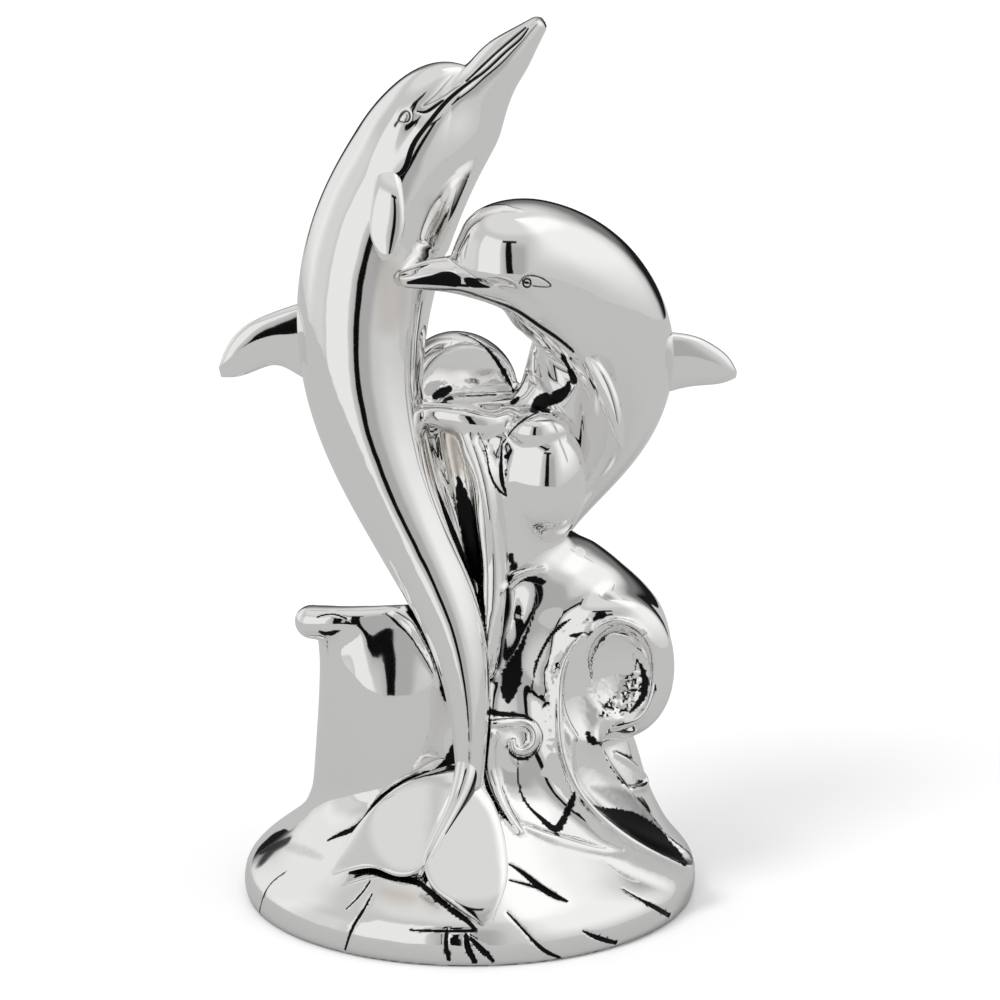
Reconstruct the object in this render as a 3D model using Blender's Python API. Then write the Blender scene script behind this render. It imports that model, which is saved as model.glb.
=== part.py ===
"""Two leaping dolphins and the sea they rise from, cast in one piece and standing on a round foot.

+X is to the viewer's right, -Y is the front and +Z is up. The origin is the centre of the underside.
The figures' pose and proportions are given in parts of the height: a part is 1/220 of it.
"""

import math

import bmesh
import bpy
import numpy as np
from mathutils import Vector

# Driving sizes, in metres
SCULPTURE_HEIGHT = 0.220
FOOT_DIAMETER = 0.114
FOOT_EDGE_HEIGHT = 0.010
DORSAL_FIN_THICKNESS = 0.0056
FLIPPER_THICKNESS = 0.0044
FLUKE_THICKNESS = 0.0042
WAVE_LIP_DIAMETER = 0.0082
SCROLL_THICKNESS = 0.0042

PART = SCULPTURE_HEIGHT / 220
FOOT_RADIUS = FOOT_DIAMETER / 2
GRAIN = 1.1 * PART
CASTING_FACES = 9400
FRONT = np.array((0.0, -1.0, 0.0))

# The taller dolphin: middle of the body from the beak's tip to the tail, in parts of the height
TALL_SPINE = (
    (17.6, 3.0, 220.4), (8.9, 3.3, 210.0), (-1.0, 4.5, 200.7), (-12.5, 5.0, 185.8),
    (-20.6, 5.0, 169.8), (-25.6, 2.0, 150.2), (-25.6, -2.4, 131.4), (-19.8, -8.0, 110.0),
    (-11.0, -13.6, 90.9), (-3.4, -19.6, 73.9), (0.1, -25.2, 55.0), (0.2, -29.4, 35.6),
)
# Way along the spine, half height on the back's side, half height on the belly's side, half width
TALL_GIRTH = (
    (0, 17.0, 1.2, 14.0), (3.5, 17.0, 2.4, 14.0), (7.6, 17.0, 3.8, 14.0), (11.5, 17.0, 5.0, 14.0),
    (15.4, 17.0, 5.6, 14.0), (19.2, 17.0, 7.4, 14.0), (22.0, 17.0, 9.7, 14.0), (27.5, 16.9, 12.8, 14.0),
    (34.0, 16.4, 14.4, 14.2), (45.0, 16.0, 15.7, 14.6), (60.0, 16.6, 16.7, 15.0), (76.0, 16.7, 16.8, 15.3),
    (93.0, 15.6, 15.7, 14.6), (113.0, 13.4, 13.4, 12.6), (138.0, 10.4, 10.4, 10.2), (162.0, 8.2, 8.0, 8.2),
    (182.0, 5.8, 5.6, 5.8), (196.0, 4.2, 4.0, 4.2), (207.0, 3.4, 3.2, 3.4),
)
# Way along the spine, half height of the beak over its middle, and half width of the beak and cheeks
TALL_BEAK = (
    (0, 1.2, 1.6), (2.8, 2.3, 2.7), (6.2, 3.6, 3.8), (12.3, 5.4, 5.0), (17.0, 5.6, 5.8), (20.5, 5.3, 6.6),
    (26.0, 5.8, 8.0), (34.0, 8.0, 11.0), (45.0, 11.5, 13.4), (60.0, 14.6, 14.6), (72.0, 15.8, 14.9),
)
# Where the forehead starts and its length: over the beak, at the cheek and at the throat
TALL_FOREHEAD = ((20.3, 26.0), (31.0, 32.0), (42.0, 28.0))

# The arching dolphin, the same way; its tail ends inside the wave
ARCH_SPINE = (
    (-17.0, -10.6, 159.1), (-8.2, -10.6, 159.9), (-0.1, -10.2, 160.5), (8.4, -8.6, 161.9),
    (19.0, -5.6, 159.4),
    (30.0, -1.6, 149.4), (36.4, 3.0, 135.6), (36.6, 6.4, 122.0), (31.6, 9.0, 108.4),
    (22.6, 11.0, 94.0), (14.0, 11.0, 80.0),
)
ARCH_GIRTH = (
    (0, 16.2, 1.2, 14.0), (4.0, 16.2, 2.4, 14.0), (8.8, 16.2, 3.5, 14.0), (15.0, 16.2, 5.3, 14.0),
    (21.0, 16.2, 9.1, 14.2), (27.0, 16.2, 12.5, 14.4), (33.0, 16.5, 14.7, 14.6), (44.0, 16.9, 16.1, 14.8),
    (56.0, 16.3, 15.9, 14.6), (70.0, 13.8, 14.0, 13.2), (82.0, 10.8, 11.2, 11.0), (97.0, 7.3, 7.2, 7.4),
    (112.0, 4.9, 4.8, 5.0), (131.0, 4.0, 4.0, 4.0),
)
ARCH_BEAK = (
    (0, 1.3, 1.6), (4.0, 2.6, 2.9), (8.8, 3.9, 4.1), (15.0, 4.6, 5.6), (21.0, 6.2, 8.4), (27.0, 8.6, 11.2),
    (33.0, 11.6, 13.0), (44.0, 15.0, 14.2), (52.0, 15.6, 14.5),
)
ARCH_FOREHEAD = ((12.4, 20.0), (14.6, 14.5), (24.0, 14.0))

# How far the beak's tip takes to round off; how softly the forehead meets the beak on top and at the cheek
NOSE_ROUNDING = 1.5
CREASE_SOFTNESS = 0.3
CHEEK_SOFTNESS = 3.2
# How much of its thickness a fin loses by its tip
FIN_TAPER = 0.45
# How full a fin's section is between its edges: 1 is an oval, less is a flatter plate
FIN_FULLNESS = 1.0
PLATE_FULLNESS = 0.45
# Roundness of a water section's corners: 1 is an oval, less is squarer
CORNER_ROUNDNESS = 0.86
ROLL_ROUNDNESS = 0.93
LEFT_WAVE_ROUNDNESS = 0.95

# Leading and trailing edges of the fins, each from inside the body to the fin's tip
TALL_DORSAL = (
    ((-34, 3, 152), (-42, 3, 149.7), (-49, 3, 147.2), (-54.8, 3, 144.2), (-59.4, 3, 139.6),
     (-62.3, 3, 133.6)),
    ((-34, 3, 128), (-42, 3, 132.0), (-47.3, 3, 134.4), (-51.6, 3, 133.3), (-57.0, 3, 131.4),
     (-61.6, 3, 131.0)),
)
ARCH_DORSAL = (
    ((42, 4, 143), (49.9, 4, 142.4), (55.6, 4, 141.4), (60.6, 4, 138.9), (64.2, 4, 135.8), (66.4, 4, 132.3)),
    ((42, 4, 126), (48.4, 4, 127.3), (52.8, 4, 128.5), (58.6, 4, 129.2), (63.2, 4, 129.7), (66.0, 4, 130.6)),
)
TALL_FLIPPER = (
    ((-16.6, -5, 186), (-16.0, -11, 182.6), (-15.7, -13.4, 177), (-15.8, -14.8, 170), (-18.0, -15.6, 164.8)),
    ((-21.6, -5, 186), (-22.8, -10.4, 182.2), (-23.6, -12.6, 176), (-23.3, -14.2, 169.4),
     (-20.8, -15.4, 164.4)),
)
ARCH_FLIPPER = (
    ((26.5, -7, 144.5), (31.0, -14, 140), (34.6, -17.6, 134.5), (36.8, -19, 127.5), (37.4, -19, 119.4)),
    ((27.5, -4, 138), (28.4, -10.5, 136.5), (30.6, -14, 131.5), (33.8, -17, 125), (36.7, -18.4, 118.6)),
)
# Plan of the fluke's lobes as they lie on the sea, from the tail's ridge outward: x, y and lift off the sea
FLUKE_LEFT = (
    ((0, -24, 8.0), (-8.9, -22.6, 4.6), (-15.5, -23.6, 3.4), (-23.9, -28.8, 3.0), (-29.4, -32.6, 2.8),
     (-33.6, -36.9, 2.4)),
    ((-5, -40, 5.0), (-12.4, -46.2, 3.4), (-17.5, -45.2, 3.0), (-22.9, -41.8, 3.0), (-28.3, -39.8, 2.8),
     (-33.0, -38.2, 2.2)),
)
FLUKE_RIGHT = (
    ((-1, -24, 7.0), (3.9, -29.7, 4.8), (7.4, -36.0, 3.6), (9.4, -43.3, 3.2), (9.0, -49.2, 3.0),
     (6.2, -54.4, 2.6)),
    ((-8, -38, 5.0), (-10.4, -46.6, 3.6), (-8.0, -50.0, 3.0), (-4.4, -52.4, 3.0), (-0.6, -54.2, 2.6),
     (3.4, -55.6, 2.2)),
)

# The tail's keel between the flukes: x, y, lift off the sea and half thickness
KEEL = (
    (0.2, -28.4, 16.0, 3.4), (-0.6, -30.6, 9.0, 3.2), (-3.0, -34.6, 5.4, 2.4), (-6.4, -39.4, 4.2, 1.9),
    (-10.2, -44.4, 3.4, 1.6),
)

# The foot's edge from its underside up: step out from the radius, and share of the edge's height
FOOT_EDGE = ((-1.4, -0.3), (-0.7, 0.04), (-0.1, 0.22), (-0.05, 0.42), (-1.2, 0.86))
# The swell of sea above the edge: distance from the middle as a share of the radius, and height
SEA_SWELL = (
    (0.915, 13.0), (0.83, 17.5), (0.73, 23.0), (0.63, 28.0), (0.49, 32.0), (0.3, 35.0), (0.01, 36.2),
)
# How far the swell draws in at the left and the right, as a share, and the heights where that starts
SIDE_DRAW, SIDE_DRAW_HEIGHTS = 0.06, (6.0, 16.0)

# Standing masses of water as level sections: height, middle x and y, half width and half depth
LEFT_WAVE = (
    (8, -21, -2, 23, 23), (18, -20.5, -2, 20.6, 20.4), (27, -19.0, -2.2, 20.4, 19.6),
    (36, -18.2, -2.4, 20.4, 20.2), (48, -17.6, -2.6, 20.1, 20.8), (57, -17.4, -3.4, 19.8, 19.8),
    (63, -17.3, -4.8, 19.8, 17.2), (69, -17.4, -7.6, 20.0, 11.8), (75.4, -17.6, -11.6, 19.8, 6.4),
)
MIDDLE_WATER = (
    (8, 6, 0, 32, 30), (24, 11, -3, 28, 25), (36, 11.5, -4, 23, 20.5), (48, 10.5, -4, 19.5, 19.5),
    (62, 9.5, -2, 16.5, 16.8), (76, 8.5, 0.5, 15.8, 12.8), (88, 8.0, 1.2, 15.6, 13.0),
    (99, 8.2, 1.4, 16.2, 13.8), (108, 8.2, 2.4, 16.8, 13.4), (116, 7.4, 4, 17.4, 11.6),
    (127, 4.5, 6, 15.5, 10),
)
CURL_BACK = (
    (8, 33.0, 1, 20, 26), (18, 33.0, 2, 15.4, 21), (27, 32.6, 3, 12.0, 17), (36, 30.8, 3, 11.2, 14),
    (44, 28.6, 3, 11.0, 12), (54, 27.5, 3, 12, 12),
)
# The curling wave's roll as upright sections from front to back: y, middle x and z, half width, half height
CURL_ROLL = (
    (-17.4, 34.4, 61.4, 11.5, 13.8), (-15, 35.0, 61.4, 14.0, 16.8), (-8, 35.2, 61.7, 15.0, 18.9),
    (0, 35.0, 62.3, 15.1, 19.5), (8, 33.6, 62.5, 14.0, 18.5), (15, 31.4, 61.2, 11.2, 15.4),
    (20, 29.0, 60.0, 6.0, 10.0),
)
# The same for the shoulder that runs from the middle water over to the roll
CURL_SHOULDER = (
    (-14, 21, 69, 9, 13), (-8, 22.5, 70, 13.4, 17.8), (2, 22.8, 71, 16.4, 20.2), (10, 22, 70, 13.4, 17.8),
    (15, 21, 68, 8, 11),
)
# Rounded masses of splash: middle, half sizes along x, y and z, then the nod about x and the turn about y
SPLASHES = (
    ((-1.8, 5, 129.3), (14.2, 8.6, 12.6), -14, 30), ((20.8, -6.0, 107.6), (8.0, 10.2, 14.0), 0, 0),
    ((14.0, -4.8, 107.4), (7.0, 9.0, 13.4), 0, 0), ((16.6, -6.4, 120.6), (8.2, 7.4, 5.4), 0, 0),
    ((8.2, -4.2, 109.6), (6.2, 8.6, 13.4), 0, 0),
    ((32.5, 0, 71.5), (11.5, 14, 13.6), 0, 0),
)
# Paths of water with their thickness: x, y, z and half thickness
WEB = ((16.5, 2, 112, 9.4), (18.6, 2, 120, 8.9), (21.2, 2, 130, 8.2), (23.4, 1.4, 138, 8.4), (27, 0, 147, 9))
LEDGE = (
    (-11.5, -3, 123.8, 2.8), (-5.6, -6.0, 123.6, 3.4), (0.5, -7.6, 123.0, 3.5), (6.2, -8.0, 122.6, 2.8),
)
GROOVE_RIDGE = (
    (-0.4, -7.0, 121, 2.8), (1.2, -10.2, 116, 3.1), (3.3, -12.4, 110, 3.4), (4.8, -13.8, 101, 3.5),
    (6.2, -14.8, 88, 3.4), (5.6, -17.8, 76, 3.2), (4.6, -21.4, 64, 2.9),
)
FRONT_WAVE = (
    (25.0, -16.0, 60, 4.6), (25.2, -18.0, 48, 6.2), (27.4, -19.6, 38, 7.2), (33.4, -20.4, 28.0, 8.0),
    (42.0, -19.4, 18.6, 8.0), (50.0, -15.5, 11.4, 6.4),
)
BACK_FOLDS = (
    ((-16, 16, 16, 8), (-5, 13.5, 36, 8), (2, 11.5, 58, 7.6), (3, 9.5, 82, 7), (0, 10, 104, 6.6),
     (-2, 10, 122, 6)),
    ((28, 20, 14, 8), (24, 15, 36, 7.6), (19, 11.5, 58, 6.8), (15, 10, 80, 5.8), (14, 9, 100, 5)),
)
LEFT_LIP = (
    (-42.8, -11.8, 73.0), (-37.0, -13.2, 73.6), (-28, -14.4, 74.5), (-18, -14.4, 75.4), (-8, -13.4, 76.0),
)
LIP_TAPER = (1.0, 0.93, 0.86, 0.76, 0.66)
SCROLL = (
    (13.0, -22.8, 42.6), (10.8, -23.4, 42.2), (10.2, -23.6, 45.0), (12.6, -23.4, 47.6), (15.6, -22.6, 45.6),
    (14.0, -22.4, 48.8), (9.6, -23.0, 49.4), (5.6, -23.6, 48.6), (5.2, -24.4, 44.0), (5.2, -26.0, 38.6),
    (7.0, -28.6, 33.0), (11.4, -31.6, 28.6),
)

# Hollows: rounded ones like the splashes, then paths like the ropes of water
HOLLOWS = {
    "bowl": ((38.0, -20.0, 61.6), (10.0, 8.4, 13.4), 0, -6),
    "bowl_side": ((29.6, -22.4, 59.0), (8.0, 6.0, 14.6), 0, -8),
    "cup": ((20.0, -9.0, 136.8), (6.0, 8.4, 10.0), 0, -20),
}
FURROWS = {
    "groove": (
        (-3.6, -12.6, 120.5, 1.8), (-2.2, -15.0, 113.4, 3.0), (-0.6, -17.4, 104.5, 3.6), (1.2, -20.2, 92, 3.6),
        (2.4, -22.6, 80, 2.8)),
    "scoop": (
        (10.0, -22.4, 81.0, 3.4), (11.8, -25.9, 72, 7.4), (12.8, -28.8, 60, 9.6), (14.6, -32.0, 47, 10.0),
        (19.4, -37.0, 35, 9.4), (25.6, -43.0, 26.0, 7.0)),
    "trough": (
        (30.0, -25.0, 44.6, 4.6), (32.6, -25.8, 39.8, 7.0), (38.8, -26.4, 34.0, 8.2),
        (47.6, -24.4, 27.6, 8.8), (55.0, -17.0, 20.0, 7.4)),
}


def fair_curve(knots, values, at):
    """Natural cubic spline through values at knots, read at the places in at."""
    knots = np.asarray(knots, float)
    values = np.asarray(values, float).reshape(len(knots), -1)
    steps = np.diff(knots)
    slopes = np.diff(values, axis=0) / steps[:, None]
    matrix = np.eye(len(knots))
    right = np.zeros_like(values)
    for i in range(1, len(knots) - 1):
        matrix[i, i - 1:i + 2] = steps[i - 1], 2 * (steps[i - 1] + steps[i]), steps[i]
        right[i] = 6 * (slopes[i] - slopes[i - 1])
    bends = np.linalg.solve(matrix, right)
    at = np.clip(np.asarray(at, float), knots[0], knots[-1])
    i = np.clip(np.searchsorted(knots, at) - 1, 0, len(steps) - 1)
    h, a, b = steps[i][:, None], (at - knots[i])[:, None], (knots[i + 1] - at)[:, None]
    return (bends[i] * b ** 3 + bends[i + 1] * a ** 3) / (6 * h) \
        + (values[i] / h - bends[i] * h / 6) * b + (values[i + 1] / h - bends[i + 1] * h / 6) * a


def way_along(points):
    """Length run so far at each of the points."""
    return np.concatenate([[0], np.cumsum(np.linalg.norm(np.diff(points, axis=0), axis=1))])


def fair_path(points, count):
    """Smooth path of count even steps through a few points, and the length run at each step."""
    points = np.asarray(points, float)
    knots = way_along(points[:, :3])
    dense = fair_curve(knots, points, np.linspace(0, knots[-1], 8 * count))
    run = way_along(dense[:, :3])
    at = np.linspace(0, run[-1], count)
    return np.column_stack([np.interp(at, run, column) for column in dense.T]), at


def unit(vectors):
    return vectors / np.linalg.norm(vectors, axis=-1, keepdims=True)


def smooth_step(low, high, value):
    share = np.clip((value - low) / (high - low), 0, 1)
    return share * share * (3 - 2 * share)


def shell(name, rings):
    """Closed mesh object over rings of points, in parts; each end closes on its middle point."""
    mesh = bpy.data.meshes.new(name)
    body = bmesh.new()
    grid = [[body.verts.new(point) for point in ring] for ring in np.asarray(rings) * PART]
    around = len(grid[0])
    for low, high in zip(grid, grid[1:]):
        for k in range(around):
            body.faces.new((low[k], low[(k + 1) % around], high[(k + 1) % around], high[k]))
    for ring in (grid[0], grid[-1]):
        middle = body.verts.new(sum((v.co for v in ring), Vector()) / around)
        for k in range(around):
            body.faces.new((ring[k], ring[(k + 1) % around], middle))
    bmesh.ops.recalc_face_normals(body, faces=body.faces)
    body.to_mesh(mesh)
    body.free()
    piece = bpy.data.objects.new(name, mesh)
    bpy.context.collection.objects.link(piece)
    return piece


def oval(angle, up, down, side):
    """Radius of an oval at an angle from its top; its upper and lower halves have their own heights."""
    height = np.where(np.cos(angle) > 0, up, down)
    return 1 / np.sqrt((np.cos(angle) / height) ** 2 + (np.sin(angle) / side) ** 2)


def larger(first, second, softness):
    """The larger of two radii, with the corner between them rounded."""
    gap = np.abs(first - second)
    return np.maximum(first, second) + softness * np.exp(-gap / softness) * 0.5


def dolphin_rings(spine, girth, beak, forehead, back_side, steps, around):
    """Rings of a dolphin's body and beak; the sign of back_side says on which side its back lies."""
    path, run = fair_path(spine, steps)
    ahead = unit(np.gradient(path, axis=0))
    side = unit(FRONT - ahead * (ahead @ FRONT)[:, None])
    back = back_side * unit(np.cross(side, ahead))
    girth, beak = np.array(girth), np.array(beak)
    up, down, wide = fair_curve(girth[:, 0], girth[:, 1:], run).T[:, :, None]
    beak_up, beak_wide = fair_curve(beak[:, 0], beak[:, 1:], run).T[:, :, None]
    angle = np.linspace(0, math.tau, around, endpoint=False)[None, :]
    run = run[:, None]
    share = 1 - np.cos(angle)
    start, length = (np.interp(share, (0, 1, 1.5), column) for column in zip(*forehead))
    rise = np.clip((run - start) / length, 0, 1)
    brow = np.sqrt(1 - (1 - rise) ** 2) * oval(angle, up, down, wide)
    keep = 1 - smooth_step(beak[-1, 0] - 8, beak[-1, 0] + 8, run)
    cheek = smooth_step(0.2, 1.0, share) * (1 - rise)
    softness = CREASE_SOFTNESS + (CHEEK_SOFTNESS - CREASE_SOFTNESS) * cheek
    reach = larger(brow, keep * oval(angle, beak_up, down, beak_wide), softness)
    nose = np.sqrt(np.clip(1 - (1 - np.clip(run / NOSE_ROUNDING, 0, 1)) ** 2, 0.03, 1))
    spread = np.cos(angle)[..., None] * back[:, None] + np.sin(angle)[..., None] * side[:, None]
    return path[:, None] + (reach * nose)[..., None] * spread


def blade_rings(edges, thickness, fullness, steps, around):
    """Rings of a fin between its leading and its trailing edge, thinning to a rounded tip."""
    (lead, _), (trail, _) = (fair_path(edge, steps) for edge in edges)
    out = unit(np.gradient((lead + trail) / 2, axis=0))
    across = trail - lead
    flat = unit(np.cross(across, out))
    angle = np.linspace(0, math.tau, around, endpoint=False)
    share = (1 - np.cos(angle)) / 2
    profile = np.sign(np.sin(angle)) * np.abs(np.sin(angle)) ** fullness * (1.25 - 0.5 * share)
    along = np.linspace(0, 1, steps)
    thick = thickness / PART / 2 * (1 - FIN_TAPER * along) * np.sqrt(np.clip(1 - along ** 12, 0.2, 1))
    return lead[:, None] + share[None, :, None] * across[:, None] \
        + (thick[:, None] * profile[None])[..., None] * flat[:, None]


def tube_rings(path, steps, around):
    """Rings of a round tube along points that end with its half thickness; its ends are rounded."""
    rows, run = fair_path(path, steps)
    middle, half = rows[:, :3], rows[:, 3]
    ahead = unit(np.gradient(middle, axis=0))
    side = unit(np.cross(ahead, (0.13, -1.0, 0.21)))
    up = np.cross(side, ahead)
    end = np.minimum(run, run[-1] - run) / half
    half = half * np.sqrt(np.clip(1 - (1 - np.clip(end, 0, 1)) ** 2, 0.05, 1))
    angle = np.linspace(0, math.tau, around, endpoint=False)
    spread = np.cos(angle)[None, :, None] * up[:, None] + np.sin(angle)[None, :, None] * side[:, None]
    return middle[:, None] + half[:, None, None] * spread


def section_rings(sections, steps, around, upright=False, roundness=CORNER_ROUNDNESS):
    """Rings through level sections, or through upright ones from front to back."""
    rows = np.array(sections, float)
    at = np.linspace(rows[0, 0], rows[-1, 0], steps)
    first, second, half_first, half_second = fair_curve(rows[:, 0], rows[:, 1:], at).T
    angle = np.linspace(0, math.tau, around, endpoint=False)
    across = np.sign(np.cos(angle)) * np.abs(np.cos(angle)) ** roundness
    along = np.sign(np.sin(angle)) * np.abs(np.sin(angle)) ** roundness
    a = first[:, None] + half_first[:, None] * across
    b = second[:, None] + half_second[:, None] * along
    level = np.broadcast_to(at[:, None], a.shape)
    return np.stack((a, level, b) if upright else (a, b, level), axis=-1)


def rounded_mass(name, middle, half_sizes, nod, turn):
    """Ball stretched to its half sizes, nodded about x and then turned about y."""
    bpy.ops.mesh.primitive_uv_sphere_add(segments=32, ring_count=20, radius=1)
    ball = bpy.context.object
    ball.name = name
    ball.scale = Vector(half_sizes) * PART
    ball.rotation_euler = (math.radians(nod), math.radians(turn), 0)
    ball.location = Vector(middle) * PART
    bpy.ops.object.transform_apply(location=True, rotation=True, scale=True)
    return ball


def foot_profile():
    """Distance from the middle and height, from under the foot's edge up to the swell's top, in parts."""
    radius, edge = FOOT_RADIUS / PART, FOOT_EDGE_HEIGHT / PART
    rim = [(radius + step, share * edge) for step, share in FOOT_EDGE]
    return rim + [(share * radius, height) for share, height in SEA_SWELL]


def sea_height(distance):
    """Height of the sea's swell at a distance from the middle, in parts."""
    rows = sorted(foot_profile()[len(FOOT_EDGE) - 1:])
    return float(fair_curve(*zip(*rows), [distance])[0, 0])


def foot_rings(steps, around):
    """Rings of the round foot: its tucked edge, then the swell above it."""
    angle = np.linspace(0, math.tau, around, endpoint=False)
    smooth, _ = fair_path([(r, 0, z) for r, z in foot_profile()], steps)
    distance, height = smooth[:, 0, None], smooth[:, 2, None]
    draw = SIDE_DRAW * smooth_step(*SIDE_DRAW_HEIGHTS, height) * np.cos(angle) ** 2
    across = distance * (1 - draw)
    level = np.broadcast_to(height, draw.shape)
    return np.stack((across * np.cos(angle), across * np.sin(angle), level), axis=-1)


def on_the_sea(edge):
    """Points given by their lift above the sea's swell, as points in space."""
    return [(x, y, sea_height(math.hypot(x, y)) + lift) for x, y, lift in edge]


def mirrored(edges, plane):
    """The far side's fin: the same edges across a plane of equal y."""
    return [[(x, 2 * plane - y, z) for x, y, z in edge] for edge in edges]


def dolphins():
    """Bodies, fins and the flukes that show."""
    pieces = [
        shell("tall_body", dolphin_rings(TALL_SPINE, TALL_GIRTH, TALL_BEAK, TALL_FOREHEAD, -1, 150, 40)),
        shell("arch_body", dolphin_rings(ARCH_SPINE, ARCH_GIRTH, ARCH_BEAK, ARCH_FOREHEAD, 1, 110, 40)),
    ]
    fins = (
        ("tall_dorsal", TALL_DORSAL, DORSAL_FIN_THICKNESS, FIN_FULLNESS),
        ("arch_dorsal", ARCH_DORSAL, DORSAL_FIN_THICKNESS, FIN_FULLNESS),
        ("tall_flipper", TALL_FLIPPER, FLIPPER_THICKNESS, PLATE_FULLNESS),
        ("arch_flipper", ARCH_FLIPPER, FLIPPER_THICKNESS, FIN_FULLNESS),
        ("tall_far_flipper", mirrored(TALL_FLIPPER, 5.0), FLIPPER_THICKNESS, PLATE_FULLNESS),
        ("arch_far_flipper", mirrored(ARCH_FLIPPER, 1.5), FLIPPER_THICKNESS, FIN_FULLNESS),
        ("fluke_left", [on_the_sea(edge) for edge in FLUKE_LEFT], FLUKE_THICKNESS, PLATE_FULLNESS),
        ("fluke_right", [on_the_sea(edge) for edge in FLUKE_RIGHT], FLUKE_THICKNESS, PLATE_FULLNESS),
    )
    pieces += [shell(name, blade_rings(edges, thick, full, 30, 24)) for name, edges, thick, full in fins]
    lifted = on_the_sea([point[:3] for point in KEEL])
    keel = [(*point, row[3]) for point, row in zip(lifted, KEEL)]
    return pieces + [shell("keel", tube_rings(keel, 40, 20))]


def water():
    """The foot, the standing waves, the curl, the splashes and the ridges between them."""
    lip = WAVE_LIP_DIAMETER / PART / 2
    left_lip = [(*point, lip * taper) for point, taper in zip(LEFT_LIP, LIP_TAPER)]
    pieces = [
        shell("foot", foot_rings(40, 96)),
        shell("left_wave", section_rings(LEFT_WAVE, 40, 48, False, LEFT_WAVE_ROUNDNESS)),
        shell("middle_water", section_rings(MIDDLE_WATER, 60, 48)),
        shell("curl_back", section_rings(CURL_BACK, 30, 48)),
        shell("curl_roll", section_rings(CURL_ROLL, 30, 48, True, ROLL_ROUNDNESS)),
        shell("curl_shoulder", section_rings(CURL_SHOULDER, 30, 48, True)),
    ]
    tubes = (("web", WEB), ("ledge", LEDGE), ("groove_ridge", GROOVE_RIDGE), ("front_wave", FRONT_WAVE),
             ("left_lip", left_lip))
    tubes += tuple((f"back_fold_{k}", fold) for k, fold in enumerate(BACK_FOLDS))
    pieces += [shell(name, tube_rings(path, 60, 20)) for name, path in tubes]
    pieces += [rounded_mass(f"splash_{k}", *mass) for k, mass in enumerate(SPLASHES)]
    return pieces


def joined(name, pieces):
    """One object from several."""
    bpy.ops.object.select_all(action="DESELECT")
    for piece in pieces:
        piece.select_set(True)
    bpy.context.view_layer.objects.active = pieces[0]
    bpy.ops.object.join()
    pieces[0].name = name
    return pieces[0]


def cutter(piece):
    """Marks a piece as one that only shapes another."""
    piece.hide_render = True
    piece.display_type = "WIRE"
    return piece


def fused(piece, grain):
    """Melts the overlapping shapes into one skin."""
    melt = piece.modifiers.new("melt", "REMESH")
    melt.mode = "VOXEL"
    melt.voxel_size = grain
    melt.adaptivity = 0


def shape(piece, tool, operation="DIFFERENCE"):
    """Cuts a tool out of a piece, or adds it."""
    change = piece.modifiers.new(tool.name, "BOOLEAN")
    change.operation = operation
    change.solver = "EXACT"
    change.object = cutter(tool)


def hollows():
    """One cutter of the bowl, the cup and the furrows."""
    tools = [rounded_mass(name, *form) for name, form in HOLLOWS.items()]
    tools += [shell(name, tube_rings(path, 60, 20)) for name, path in FURROWS.items()]
    return joined("hollows", tools)


def scroll():
    """The small curl's rolled edge."""
    return shell("scroll", tube_rings([(*point, SCROLL_THICKNESS / PART / 2) for point in SCROLL], 60, 20))


def count_faces(piece):
    """Triangles of a piece with its modifiers."""
    shown = piece.evaluated_get(bpy.context.evaluated_depsgraph_get())
    return sum(len(face.vertices) - 2 for face in shown.data.polygons)


def silver():
    """Polished silver."""
    material = bpy.data.materials.new("polished_silver")
    material.use_nodes = True
    shader = material.node_tree.nodes["Principled BSDF"]
    shader.inputs["Base Color"].default_value = (0.87, 0.87, 0.86, 1)
    shader.inputs["Metallic"].default_value = 1.0
    shader.inputs["Roughness"].default_value = 0.08
    return material


def main():
    for piece in list(bpy.data.objects):
        bpy.data.objects.remove(piece)
    casting = joined("dolphin_pair", dolphins() + water())
    fused(casting, GRAIN)
    for tool, operation in ((hollows(), "DIFFERENCE"), (scroll(), "UNION")):
        fused(tool, GRAIN)
        shape(casting, tool, operation)
    fused(casting, GRAIN)
    soften = casting.modifiers.new("soften", "SMOOTH")
    soften.factor = 0.5
    soften.iterations = 2
    thin = casting.modifiers.new("thin_out", "DECIMATE")
    thin.ratio = CASTING_FACES / count_faces(casting)
    bpy.ops.mesh.primitive_cube_add(size=1)
    ground = bpy.context.object
    ground.name = "ground"
    depth = 0.1 * SCULPTURE_HEIGHT
    ground.scale = (2 * FOOT_DIAMETER, 2 * FOOT_DIAMETER, depth)
    ground.location = (0, 0, -depth / 2)
    shape(casting, ground)
    casting.data.materials.clear()
    casting.data.materials.append(silver())
    casting.data.shade_smooth()


main()
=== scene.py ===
import itertools
import math

import bmesh
import bpy
import numpy as np
from mathutils import Matrix, Vector, noise
from mathutils.bvhtree import BVHTree


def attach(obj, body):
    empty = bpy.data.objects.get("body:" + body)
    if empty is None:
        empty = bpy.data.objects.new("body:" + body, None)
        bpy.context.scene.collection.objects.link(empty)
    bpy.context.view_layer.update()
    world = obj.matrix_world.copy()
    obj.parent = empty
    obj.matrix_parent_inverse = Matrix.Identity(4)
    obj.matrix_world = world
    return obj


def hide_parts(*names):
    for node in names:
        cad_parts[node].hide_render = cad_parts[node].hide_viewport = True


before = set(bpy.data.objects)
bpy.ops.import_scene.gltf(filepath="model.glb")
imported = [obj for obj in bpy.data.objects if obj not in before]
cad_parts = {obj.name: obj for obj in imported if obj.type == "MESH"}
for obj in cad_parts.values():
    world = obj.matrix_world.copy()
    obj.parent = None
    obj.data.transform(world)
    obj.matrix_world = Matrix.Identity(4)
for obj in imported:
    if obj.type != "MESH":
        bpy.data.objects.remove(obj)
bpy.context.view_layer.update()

# A part is 1/220 of the sculpture's height; every table below is in parts, as in the part's own source
PART = 0.001
FOOT_RADIUS = 56.8
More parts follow.
